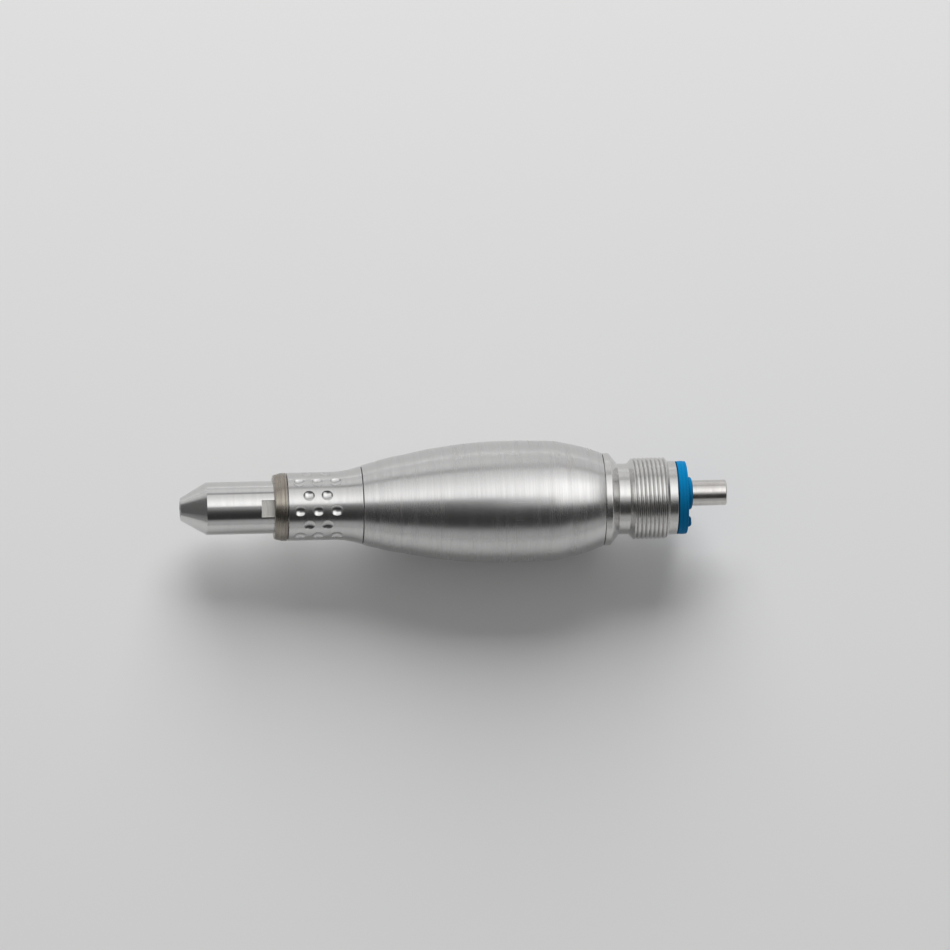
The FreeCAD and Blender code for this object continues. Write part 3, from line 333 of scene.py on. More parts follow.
class Skin:
    """Collects the vertices, faces and face-corner normals of one piece."""

    def __init__(self) -> None:
        """Start empty."""
        self.points: list[np.ndarray] = []
        self.count = 0
        self.faces: list[list[int]] = []
        self.normals: list[np.ndarray] = []

    def add_points(self, points: np.ndarray) -> np.ndarray:
        """Add vertices.

        Args:
            points: Their places, with any shape that ends in 3.

        Returns:
            Their numbers, with the same shape without the 3.
        """
        shape = points.shape[:-1]
        numbers = np.arange(self.count, self.count + int(np.prod(shape))).reshape(shape)
        self.points.append(points.reshape(-1, 3))
        self.count += numbers.size
        return numbers

    def add_faces(self, corners: np.ndarray, normals: np.ndarray) -> None:
        """Add faces that all have the same number of corners.

        Args:
            corners: Vertex numbers, of shape (faces, corners).
            normals: The normal at each corner, of shape (faces, corners, 3).
        """
        self.faces.extend(corners.tolist())
        self.normals.append(normals.reshape(-1, 3))

    def add_flat(self, corners: np.ndarray) -> None:
        """Add faces that are shaded flat.

        Args:
            corners: Vertex numbers, of shape (faces, corners).
        """
        spots = np.concatenate(self.points)[corners]
        across = np.cross(spots[:, 1] - spots[:, 0], spots[:, -1] - spots[:, 0])
        across /= np.maximum(np.linalg.norm(across, axis=1, keepdims=True), 1e-12)
        self.add_faces(corners, np.repeat(across[:, None], corners.shape[1], axis=1))

    def add_sweep(self, sweep: Sweep, closed: bool = True, wraps: bool = True,
                  keep: Optional[np.ndarray] = None) -> np.ndarray:
        """Add a turned grid.

        Args:
            sweep: The grid.
            closed: Whether its last ring joins its first.
            wraps: Whether its last column joins its first.
            keep: A mask of shape (rings, columns) of the faces that are made, or None for all.

        Returns:
            The vertex numbers, of shape (rings, columns). A ring of no radius has one vertex.
        """
        rings, columns = sweep.points.shape[:2]
        numbers = self.add_points(sweep.points)
        poles = [k for k in range(rings) if np.ptp(sweep.points[k, :, 1:], axis=0).max() < 1e-9]
        following = (np.arange(rings) + 1) % rings
        beside = (np.arange(columns) + 1) % columns
        for ring in range(rings if closed else rings - 1):
            after = following[ring]
            inside = np.arange(columns if wraps else columns - 1)
            if keep is not None:
                inside = inside[keep[ring, inside]]
            other = beside[inside]
            corners = np.stack([numbers[ring, inside], numbers[after, inside],
                                numbers[after, other], numbers[ring, other]], axis=1)
            normals = np.stack([sweep.after[ring, inside], sweep.before[after, inside],
                                sweep.before[after, other], sweep.after[ring, other]], axis=1)
            if ring in poles:
                corners[:, 0] = numbers[ring, 0]
                corners, normals = corners[:, :3], normals[:, :3]
            elif after in poles:
                corners[:, 1] = numbers[after, 0]
                corners, normals = corners[:, [0, 1, 3]], normals[:, [0, 1, 3]]
            self.add_faces(corners, normals)
        return numbers

    def add_turned(self, outline: list[OutlineEntry], columns: int = ROUND_COLUMNS, closed: bool = True,
                   centre: Pair = (0.0, 0.0)) -> "Skin":
        """Add a turned form.

        Args:
            outline: Its outline, run from the front over the outside to the rear.
            columns: How many columns go round it.
            closed: Whether the outline is closed.
            centre: The axis's place, as (y, z).

        Returns:
            The skin itself.
        """
        self.add_sweep(Sweep.of(trace(outline, closed), even_turn(columns), centre), closed)
        return self

    def add_holed_disc(self, x: float, radius: float, holes: list[Hole], facing: Facing) -> None:
        """Add a flat face across the axis, with round holes.

        Args:
            x: The face's station.
            radius: Its outer radius.
            holes: The holes, each as (y, z, radius).
            facing: The end that it looks towards.
        """
        spots: list[Vector] = []
        edges: list[tuple[int, int]] = []
        for y, z, size in [(0.0, 0.0, radius), *holes]:
            angles = even_turn(columns_round(size))
            first = len(spots)
            spots.extend(Vector((y + size * math.sin(a), z + size * math.cos(a))) for a in angles)
            edges.extend((first + k, first + (k + 1) % len(angles)) for k in range(len(angles)))
        flat, _, faces, _, _, _ = delaunay_2d_cdt(spots, edges, [], 1, 1e-7)
        points = np.array([[x, spot.x, spot.y] for spot in flat])
        kept = []
        for face in faces:
            a, b, c = points[face[0]], points[face[1]], points[face[2]]
            middle = (a + b + c) / 3
            if all(math.hypot(middle[1] - y, middle[2] - z) > size * 0.999 for y, z, size in holes):
                winding = np.cross(b - a, c - a)[0] * facing.value
                kept.append(face if winding > 0 else face[::-1])
        self.add_flat(self.add_points(points)[np.array(kept)])

    def piece(self, name: str, material: bpy.types.Material) -> bpy.types.Object:
        """Make the object.

        Args:
            name: The piece's name.
            material: Its material.

        Returns:
            The object, in metres, with its normals.
        """
        points = np.concatenate(self.points) * MM
        used = np.zeros(len(points), bool)
        used[[number for face in self.faces for number in face]] = True
        renumbered = (np.cumsum(used) - 1).tolist()
        faces = [[renumbered[number] for number in face] for face in self.faces]
        mesh = bpy.data.meshes.new(name)
        mesh.from_pydata(points[used].tolist(), [], faces, shade_flat=False)
        mesh.update()
        mesh.normals_split_custom_set(np.concatenate(self.normals).tolist())
        mesh.materials.append(material)
        return add_object(name, mesh)


# Shader node groups

class Wiring:
    """Adds nodes to one shader tree and joins them."""

    def __init__(self, tree: bpy.types.NodeTree) -> None:
        """Keep the tree that the nodes go into."""
        self.tree = tree

    def node(self, kind: str, **settings: object) -> bpy.types.Node:
        """Add a node.

        Args:
            kind: The node's type.
            **settings: Its properties, by name.

        Returns:
            The node.
        """
        made = self.tree.nodes.new(kind)
        for name, value in settings.items():
            setattr(made, name, value)
        return made

    def put(self, value: object, socket: bpy.types.NodeSocket) -> None:
        """Join an output to a socket, or write a number or colour on it.

        Args:
            value: An output socket, or a plain value.
            socket: The socket that takes it.
        """
        if isinstance(value, bpy.types.NodeSocket):
            self.tree.links.new(value, socket)
        else:
            socket.default_value = value

    def maths(self, operation: str, *values: object) -> bpy.types.NodeSocket:
        """Add a Math node.

        Args:
            operation: What it works out.
            *values: Its inputs.

        Returns:
            Its output.
        """
        made = self.node("ShaderNodeMath", operation=operation)
        for number, value in enumerate(values):
            self.put(value, made.inputs[number])
        return made.outputs[0]

    def noise(self, vector: object, scale: object, detail: float = 2.0,
              roughness: float = 0.5) -> bpy.types.NodeSocket:
        """Add a noise texture.

        Args:
            vector: Where it is read.
            scale: How fine it is.
            detail: How many finer layers it has.
            roughness: How strong they are.

        Returns:
            Its value, around one half.
        """
        made = self.node("ShaderNodeTexNoise")
        self.put(vector, made.inputs["Vector"])
        self.put(scale, made.inputs["Scale"])
        made.inputs["Detail"].default_value = detail
        made.inputs["Roughness"].default_value = roughness
        return made.outputs["Fac"]

    def ramp(self, value: bpy.types.NodeSocket, low: float, high: float, to_low: object = 0.0,
             to_high: object = 1.0) -> bpy.types.NodeSocket:
        """Spread a range of a value smoothly over another range.

        Args:
            value: The value.
            low: Where the range starts.
            high: Where it ends.
            to_low: What the start becomes.
            to_high: What the end becomes.

        Returns:
            The new value.
        """
        made = self.node("ShaderNodeMapRange", interpolation_type="SMOOTHSTEP")
        for name, number in (("Value", value), ("From Min", low), ("From Max", high), ("To Min", to_low),
                             ("To Max", to_high)):
            self.put(number, made.inputs[name])
        return made.outputs["Result"]

    def blend(self, share: object, first: object, second: object) -> bpy.types.NodeSocket:
        """Mix two colours.

        Args:
            share: The second one's share.
            first: One colour.
            second: The other.

        Returns:
            The mixed colour.
        """
        made = self.node("ShaderNodeMix", data_type="RGBA")
        self.put(share, made.inputs["Factor"])
        self.put(first, made.inputs["A"])
        self.put(second, made.inputs["B"])
        return made.outputs["Result"]

    def relief(self, height: bpy.types.NodeSocket, depth: float, shader: bpy.types.Node) -> None:
        """Raise a shader's surface by a height.

        Args:
            height: The height, as a share of the depth.
            depth: How far a height of 1 raises the surface.
            shader: The shader.
        """
        bump = self.node("ShaderNodeBump")
        bump.inputs["Distance"].default_value = depth * MM
        self.put(height, bump.inputs["Height"])
        self.put(bump.outputs[0], shader.inputs["Normal"])

    def place(self, group: "Effect", **values: object) -> bpy.types.Node:
        """Place a node group.

        Args:
            group: The group's maker.
            **values: Its inputs by name, with _ for a space.

        Returns:
            The placed group.
        """
        made = self.node("ShaderNodeGroup", node_tree=group.tree)
        for name, value in values.items():
            self.put(value, made.inputs[name.replace("_", " ")])
        return made


class Effect:
    """A shader node group that several materials place."""

    def __init__(self, name: str, inputs: dict[str, float], outputs: dict[str, str]) -> None:
        """Make the group's sockets.

        Args:
            name: The group's name.
            inputs: Its number inputs, with what each is unless told.
            outputs: Its outputs, each with its socket type.
        """
        self.tree = bpy.data.node_groups.new(name, "ShaderNodeTree")
        for socket, value in inputs.items():
            made = self.tree.interface.new_socket(name=socket, in_out="INPUT", socket_type="NodeSocketFloat")
            made.default_value = value
        for socket, kind in outputs.items():
            self.tree.interface.new_socket(name=socket, in_out="OUTPUT", socket_type=kind)
        self.wiring = Wiring(self.tree)
        self.given = self.wiring.node("NodeGroupInput").outputs
        self.result = self.wiring.node("NodeGroupOutput").inputs


class AxisCoordinates(Effect):
    """Coordinates that run along a turned piece's profile and round its axis."""

    def __init__(self) -> None:
        """Build the group."""
        super().__init__("AxisCoordinates", {"Along": 1000.0, "Around": 1.0, "Axis Height": 0.0},
                         {"Vector": "NodeSocketVector", "Profile": "NodeSocketFloat"})
        wiring = self.wiring
        spot = wiring.node("ShaderNodeTexCoord").outputs["Object"]
        parts = wiring.node("ShaderNodeSeparateXYZ")
        wiring.put(spot, parts.inputs[0])
        height = wiring.maths("SUBTRACT", parts.outputs["Z"], self.given["Axis Height"])
        square = wiring.maths("MULTIPLY_ADD", height, height, wiring.maths("POWER", parts.outputs["Y"], 2.0))
        radius = wiring.maths("MAXIMUM", wiring.maths("SQRT", square), 1e-6)
        profile = wiring.maths("ADD", parts.outputs["X"], radius)
        vector = wiring.node("ShaderNodeCombineXYZ")
        wiring.put(wiring.maths("MULTIPLY", profile, self.given["Along"]), vector.inputs["X"])
        for part, target in ((parts.outputs["Y"], "Y"), (height, "Z")):
            share = wiring.maths("DIVIDE", part, radius)
            wiring.put(wiring.maths("MULTIPLY", share, self.given["Around"]), vector.inputs[target])
        wiring.put(vector.outputs[0], self.result["Vector"])
        wiring.put(profile, self.result["Profile"])


class TurnedGrain(Effect):
    """The fine lines that turning and brushing leave round a piece."""

    BROAD_SHARE = 0.23
    BROAD_BREAKS = 0.6
    LINES_IN_HEIGHT = 0.88
    LINES_IN_TONE = 0.55

    def __init__(self, axis: AxisCoordinates) -> None:
        """Build the group.

        Args:
            axis: The coordinates' group.
        """
        super().__init__("TurnedGrain", {"Lines Per Metre": 4000.0, "Breaks": 1.5, "Axis Height": 0.0},
                         {"Height": "NodeSocketFloat", "Tone": "NodeSocketFloat"})
        wiring = self.wiring
        fine = wiring.place(axis, Along=self.given["Lines Per Metre"], Around=self.given["Breaks"],
                            Axis_Height=self.given["Axis Height"])
        broad_along = wiring.maths("MULTIPLY", self.given["Lines Per Metre"], self.BROAD_SHARE)
        broad = wiring.place(axis, Along=broad_along, Around=self.BROAD_BREAKS,
                             Axis_Height=self.given["Axis Height"])
        lines = wiring.noise(fine.outputs["Vector"], 1.0, detail=3.0, roughness=0.65)
        bands = wiring.noise(broad.outputs["Vector"], 1.0, detail=2.0, roughness=0.55)
        height, tone = (
            wiring.maths("MULTIPLY_ADD", lines, share, wiring.maths("MULTIPLY", bands, 1 - share))
            for share in (self.LINES_IN_HEIGHT, self.LINES_IN_TONE))
        wiring.put(height, self.result["Height"])
        wiring.put(wiring.ramp(tone, 0.33, 0.67), self.result["Tone"])


class HandlingMarks(Effect):
    """Faint smudges and hair scratches of a piece in daily use."""

    SCRATCH_TILT = (0.4, 0.3, 0.9)
    SCRATCH_STRETCH = (0.12, 3.0, 1.0)
    SCRATCH_WIDTH = 0.012
    PATCH_SCALE = 330.0

    def __init__(self) -> None:
        """Build the group."""
        super().__init__("HandlingMarks", {"Smudge Scale": 120.0, "Scratch Scale": 260.0},
                         {"Smudges": "NodeSocketFloat", "Scratches": "NodeSocketFloat"})
        wiring = self.wiring
        spot = wiring.node("ShaderNodeTexCoord").outputs["Object"]
        smudges = wiring.noise(spot, self.given["Smudge Scale"], detail=3.0, roughness=0.6)
        tilted = wiring.node("ShaderNodeMapping")
        tilted.inputs["Rotation"].default_value = self.SCRATCH_TILT
        tilted.inputs["Scale"].default_value = self.SCRATCH_STRETCH
        wiring.put(spot, tilted.inputs["Vector"])
        hair = wiring.noise(tilted.outputs[0], self.given["Scratch Scale"], detail=2.0, roughness=0.5)
        ridge = wiring.maths("ABSOLUTE", wiring.maths("SUBTRACT", hair, 0.5))
        thin = wiring.ramp(ridge, 0.0, self.SCRATCH_WIDTH, 1.0, 0.0)
        patches = wiring.noise(spot, self.PATCH_SCALE, detail=1.0)
        sparse = wiring.ramp(patches, 0.56, 0.66)
        wiring.put(wiring.ramp(smudges, 0.35, 0.68), self.result["Smudges"])
        wiring.put(wiring.maths("MULTIPLY", thin, sparse), self.result["Scratches"])


class MouldedSurface(Effect):
    """The fine speckle and the mould's turning lines on a moulded piece."""

    def __init__(self, axis: AxisCoordinates) -> None:
        """Build the group.

        Args:
            axis: The coordinates' group.
        """
        super().__init__("MouldedSurface", {"Line Pitch": 0.0003, "Speckle Scale": 6000.0},
                         {"Lines": "NodeSocketFloat", "Speckle": "NodeSocketFloat"})
        wiring = self.wiring
        placed = wiring.place(axis, Along=1.0, Around=1.0)
        phase = wiring.maths("DIVIDE", placed.outputs["Profile"], self.given["Line Pitch"])
        wave = wiring.maths("SINE", wiring.maths("MULTIPLY", phase, FULL_TURN))
        spot = wiring.node("ShaderNodeTexCoord").outputs["Object"]
        wiring.put(wiring.ramp(wave, 0.2, 1.0), self.result["Lines"])
        speckle = wiring.noise(spot, self.given["Speckle Scale"], detail=2.0, roughness=0.6)
        wiring.put(speckle, self.result["Speckle"])


class FabricWeave(Effect):
    """The crossed threads of fabric-filled sheet."""

    FIBRE_SCALE = 2500.0

    def __init__(self) -> None:
        """Build the group."""
        super().__init__("FabricWeave", {"Thread Pitch": 0.0004},
                         {"Threads": "NodeSocketFloat", "Fibre": "NodeSocketFloat"})
        wiring = self.wiring
        spot = wiring.node("ShaderNodeTexCoord").outputs["Object"]
        parts = wiring.node("ShaderNodeSeparateXYZ")
        wiring.put(spot, parts.inputs[0])
        waves = []
        across = wiring.maths("ADD", parts.outputs["Y"], parts.outputs["Z"])
        for part in (parts.outputs["X"], across):
            phase = wiring.maths("DIVIDE", part, self.given["Thread Pitch"])
            waves.append(wiring.maths("SINE", wiring.maths("MULTIPLY", phase, FULL_TURN)))
        wiring.put(wiring.ramp(wiring.maths("MULTIPLY", *waves), -0.6, 0.6), self.result["Threads"])
        fibre = wiring.noise(spot, self.FIBRE_SCALE, detail=3.0, roughness=0.7)
        wiring.put(fibre, self.result["Fibre"])


class Effects:
    """All the node groups, built once."""

    def __init__(self) -> None:
        """Build them."""
        self.axis = AxisCoordinates()
        self.grain = TurnedGrain(self.axis)
        self.marks = HandlingMarks()
        self.moulded = MouldedSurface(self.axis)
        self.weave = FabricWeave()


# Finishes

def scaled(colour: Colour, factor: float = 1.0) -> Paint:
    """A colour made lighter or darker, with full alpha."""
    return (*(min(1.0, part * factor) for part in colour), 1.0)


def grey(level: float) -> Paint:
    """A plain grey, with full alpha."""
    return (level, level, level, 1.0)


def new_material(name: str) -> tuple[bpy.types.Material, Wiring, bpy.types.Node]:
    """Start a material.

    Args:
        name: Its name.

    Returns:
        The material, its wiring and its Principled shader.
    """
    material = bpy.data.materials.new(name)
    material.use_nodes = True
    return material, Wiring(material.node_tree), material.node_tree.nodes["Principled BSDF"]


@dataclass(frozen=True)
class MetalFinish:
    """A turned or brushed metal surface."""

    name: str
    colour: Colour
    roughness: float
    roughness_swing: float
    lines_per_mm: float
    tone_swing: float
    depth: float
    breaks: float = 1.5
    smudge: float = 0.05
    axis_height: float = 0.0

    def material(self, effects: Effects) -> bpy.types.Material:
        """Make the material.

        Args:
            effects: The node groups.

        Returns:
            The material.
        """
        material, wiring, shader = new_material(self.name)
        grain = wiring.place(effects.grain, Lines_Per_Metre=self.lines_per_mm / MM, Breaks=self.breaks,
                             Axis_Height=self.axis_height * MM)
        marks = wiring.place(effects.marks)
        tone = wiring.blend(grain.outputs["Tone"], scaled(self.colour, 1 - self.tone_swing),
                            scaled(self.colour, 1 + self.tone_swing))
        wiring.put(tone, shader.inputs["Base Color"])
        rough = wiring.ramp(grain.outputs["Tone"], 0.0, 1.0, self.roughness + self.roughness_swing,
                            self.roughness - self.roughness_swing)
        rough = wiring.maths("MULTIPLY_ADD", marks.outputs["Smudges"], self.smudge, rough)
        rough = wiring.maths("MULTIPLY_ADD", marks.outputs["Scratches"], self.smudge, rough)
        wiring.put(rough, shader.inputs["Roughness"])
        shader.inputs["Metallic"].default_value = 1.0
        wiring.relief(grain.outputs["Height"], self.depth, shader)
        return material


@dataclass(frozen=True)
class MouldedFinish:
    """A moulded rubber or polymer surface."""

    name: str
    colour: Colour
    roughness: float
    line_pitch: float
    line_tone: float
    depth: float
    specular: float = 0.5
    smudge: float = 0.08
    speckle_tone: float = 0.93
    speckle_height: float = 0.4

    def material(self, effects: Effects) -> bpy.types.Material:
        """Make the material.

        Args:
            effects: The node groups.

        Returns:
            The material.
        """
        material, wiring, shader = new_material(self.name)
        surface = wiring.place(effects.moulded, Line_Pitch=self.line_pitch * MM)
        marks = wiring.place(effects.marks)
        lined = wiring.blend(surface.outputs["Lines"], scaled(self.colour),
                             scaled(self.colour, 1 - self.line_tone))
        speckled = wiring.node("ShaderNodeMix", data_type="RGBA", blend_type="MULTIPLY")
        speckled.inputs["Factor"].default_value = 1.0
        wiring.put(lined, speckled.inputs["A"])
        shade = wiring.ramp(surface.outputs["Speckle"], 0.3, 0.7, self.speckle_tone, 1.0)
        wiring.put(shade, speckled.inputs["B"])
        wiring.put(speckled.outputs["Result"], shader.inputs["Base Color"])
        wiring.put(wiring.maths("MULTIPLY_ADD", marks.outputs["Smudges"], self.smudge, self.roughness),
                   shader.inputs["Roughness"])
        shader.inputs["Specular IOR Level"].default_value = self.specular
        speckle = wiring.maths("MULTIPLY", surface.outputs["Speckle"], self.speckle_height)
        wiring.relief(wiring.maths("SUBTRACT", speckle, surface.outputs["Lines"]), self.depth, shader)
        return material


@dataclass(frozen=True)
class WovenFinish:
    """A sawn and ground sheet of fabric in resin."""

    name: str
    thread: Colour
    resin: Colour
    roughness: float
    depth: float
    thread_roughness: float = 0.15
    wear: float = 1.2

    def material(self, effects: Effects) -> bpy.types.Material:
        """Make the material.

        Args:
            effects: The node groups.

        Returns:
            The material.
        """
        material, wiring, shader = new_material(self.name)
        weave = wiring.place(effects.weave)
        cloth = wiring.blend(weave.outputs["Threads"], scaled(self.resin), scaled(self.thread))
        worn = wiring.blend(wiring.ramp(weave.outputs["Fibre"], 0.35, 0.7), cloth,
                            scaled(self.resin, self.wear))
        wiring.put(worn, shader.inputs["Base Color"])
        rough = wiring.maths("MULTIPLY_ADD", weave.outputs["Threads"], self.thread_roughness, self.roughness)
        wiring.put(rough, shader.inputs["Roughness"])
        wiring.relief(weave.outputs["Threads"], self.depth, shader)
        return material


MILLED_NOTCH = MetalFinish(
    "milled_notch", colour=(0.78, 0.77, 0.74), roughness=0.58, roughness_swing=0.06, lines_per_mm=9.0,
    tone_swing=0.08, depth=0.004)

FINISHES: list[Union[MetalFinish, MouldedFinish, WovenFinish]] = [
    MetalFinish(Slot.NOSE_STEEL, colour=(0.66, 0.655, 0.65), roughness=0.12, roughness_swing=0.02,
                lines_per_mm=6.0, tone_swing=0.03, depth=0.0003, smudge=0.03),
    MetalFinish(Slot.RING_BRONZE, colour=(0.34, 0.31, 0.27), roughness=0.28, roughness_swing=0.05,
                lines_per_mm=3.5, tone_swing=0.12, depth=0.0008),
    MetalFinish(Slot.GRIP_STEEL, colour=(0.63, 0.625, 0.62), roughness=0.19, roughness_swing=0.03,
                lines_per_mm=8.0, tone_swing=0.03, depth=0.00025, smudge=0.02),
    MetalFinish(Slot.BARREL_STEEL, colour=(0.62, 0.615, 0.612), roughness=0.24, roughness_swing=0.03,
                lines_per_mm=7.0, tone_swing=0.04, depth=0.00008, breaks=0.7, smudge=0.015),
    MetalFinish(Slot.CONNECTOR_STEEL, colour=(0.66, 0.655, 0.645), roughness=0.20, roughness_swing=0.03,
                lines_per_mm=6.0, tone_swing=0.03, depth=0.0002),
    MetalFinish(Slot.TUBE_STEEL, colour=(0.64, 0.62, 0.60), roughness=0.17, roughness_swing=0.04,
                lines_per_mm=5.0, tone_swing=0.05, depth=0.0015, axis_height=2.8),
    MetalFinish(Slot.STEEL_INNER, colour=(0.58, 0.58, 0.585), roughness=0.30, roughness_swing=0.05,
                lines_per_mm=5.0, tone_swing=0.06, depth=0.003),
    MouldedFinish(Slot.GASKET_BLUE, colour=(0.001, 0.165, 0.375), roughness=0.50, line_pitch=0.55,
                  line_tone=0.12, depth=0.012, specular=0.05),
    MouldedFinish(Slot.SEAL_BLACK, colour=(0.035, 0.035, 0.037), roughness=0.55, line_pitch=0.40,
                  line_tone=0.15, depth=0.008, specular=0.4),
    MouldedFinish(Slot.BUSH_POLYMER, colour=(0.80, 0.77, 0.70), roughness=0.45, line_pitch=0.50,
                  line_tone=0.06, depth=0.006),
    WovenFinish(Slot.VANE_PHENOLIC, thread=(0.42, 0.25, 0.13), resin=(0.27, 0.14, 0.065), roughness=0.42,
                depth=0.01),
]


class Wardrobe:
    """The materials by slot, and how a piece gets one."""

    def __init__(self) -> None:
        """Make the node groups and the materials."""
        effects = Effects()
        self.materials = {finish.name: finish.material(effects) for finish in FINISHES}
        self.milled = MILLED_NOTCH.material(effects)

    def dress_piece(self, skin: Skin, name: str, slot: Slot, body: Body, *nodes: str) -> bpy.types.Object:
        """Make a piece of a skin and tie it to the frame.

        Args:
            skin: The piece's mesh.
            name: The piece's name.
            slot: The material slot that it takes its finish from.
            body: The body that it rides on.
            *nodes: The nodes that it stands for.

        Returns:
            The piece.
        """
        made = skin.piece(name, self.materials[slot])
        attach(made, body)
        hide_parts(*nodes)
        LOG.info("%s rides on %s and stands for %s", name, body, ", ".join(nodes))
        return made

    def dress_nodes(self, slot: Slot, *nodes: str) -> None:
        """Give kept nodes a slot's material.

        Args:
            slot: The material slot.
            *nodes: The nodes' names.
        """
        for name in nodes:
            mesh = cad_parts[name].data
            mesh.materials.clear()
            mesh.materials.append(self.materials[slot])
            LOG.info("%s keeps its shape, with the finish %s", name, slot)


# Dimples

@dataclass(frozen=True)
class Dimple:
    """A dimple: the part of a ball that is sunk into a round surface.

    The sizes ball and surface are their radii, and depth is how far the ball goes in.
    """

    station: float
    angle: float
    ball: float
    depth: float
    surface: float

    @property
    def centre_height(self) -> float:
        """How far the ball's centre lies from the axis."""
        return self.surface + self.ball - self.depth

    @property
    def rim(self) -> float:
        """The radius of the dimple's rim."""
        return math.sqrt(self.ball ** 2 - (self.ball - self.depth) ** 2)

    @property
    def centre(self) -> np.ndarray:
        """The ball's centre."""
        return np.array([self.station, self.centre_height * math.sin(self.angle),
                         self.centre_height * math.cos(self.angle)])

    def depth_at(self, x: np.ndarray, turn: np.ndarray, height: np.ndarray) -> np.ndarray:
        """How far the ball lies below the surface.

        Args:
            x: Stations beside the dimple.
            turn: Their angles from its middle.
            height: The surface's radius there.

        Returns:
            The depths, which are below 0 outside the dimple.
        """
        inner = self.ball ** 2 - (x - self.station) ** 2 - (self.centre_height * np.sin(turn)) ** 2
        floor = self.centre_height * np.cos(turn) - np.sqrt(np.maximum(inner, 0.0))
        return np.where(inner > 0, height - floor, -1.0)


class DimpledGrid:
    """A round surface's grid of points, which dimples move and lower."""

    MARGIN = 0.3

    def __init__(self, stations: np.ndarray, radii: np.ndarray, angles: np.ndarray, radius: float,
                 cell: float) -> None:
        """Lay the grid out before any dimple.

        Args:
            stations: The rings' stations.
            radii: Their radii.
            angles: The columns' angles.
            radius: The radius at which turns are measured as lengths.
            cell: The longest side of the grid's cells.
        """
        self.stations, self.radii, self.radius, self.cell = stations, radii, radius, cell
        self.x = stations[:, None] * np.ones(len(angles))
        self.angle = angles[None, :] * np.ones((len(stations), 1))
        self.height = radii[:, None] * np.ones(len(angles))
        self.carved = np.zeros(self.x.shape, bool)
        self.inward = np.zeros((*self.x.shape, 3))

    def carve(self, dimple: Dimple) -> None:
        """Move the points beside a dimple's rim onto it, and lower those inside it.

        Args:
            dimple: The dimple.
        """
        slope = dimple.rim / (dimple.ball - dimple.depth)
        reach = dimple.rim + self.MARGIN
        turn = (self.angle - dimple.angle + math.pi) % FULL_TURN - math.pi
        near = (np.abs(self.x - dimple.station) < reach) & (np.abs(turn) * self.radius < reach)
        x, turn, height = self.x[near], turn[near], self.height[near]
        gap = dimple.depth_at(x, turn, height) / slope
        off_x, off_round = x - dimple.station, turn * self.radius
        distance = np.maximum(np.hypot(off_x, off_round), 1e-6)
        snapped = np.abs(gap) < self.cell / 2
        x = np.where(snapped, x + gap * off_x / distance, x)
        turn = np.where(snapped, turn + gap * off_round / distance / self.radius, turn)
        height = np.where(snapped, np.interp(x, self.stations, self.radii), height)
        depth = dimple.depth_at(x, turn, height)
        inside = (depth > 0) & ~snapped
        height = np.where(inside, height - depth, height)
        angle = dimple.angle + turn
        self.x[near], self.height[near], self.angle[near] = x, height, angle
        self.carved[near] |= inside
        toward = dimple.centre - np.stack([x, height * np.sin(angle), height * np.cos(angle)], axis=-1)
        self.inward[near] = toward / np.linalg.norm(toward, axis=-1, keepdims=True)

    def points(self) -> np.ndarray:
        """The grid's points, of shape (rings, columns, 3)."""
        return np.stack([self.x, self.height * np.sin(self.angle), self.height * np.cos(self.angle)], -1)


# Sub-assemblies

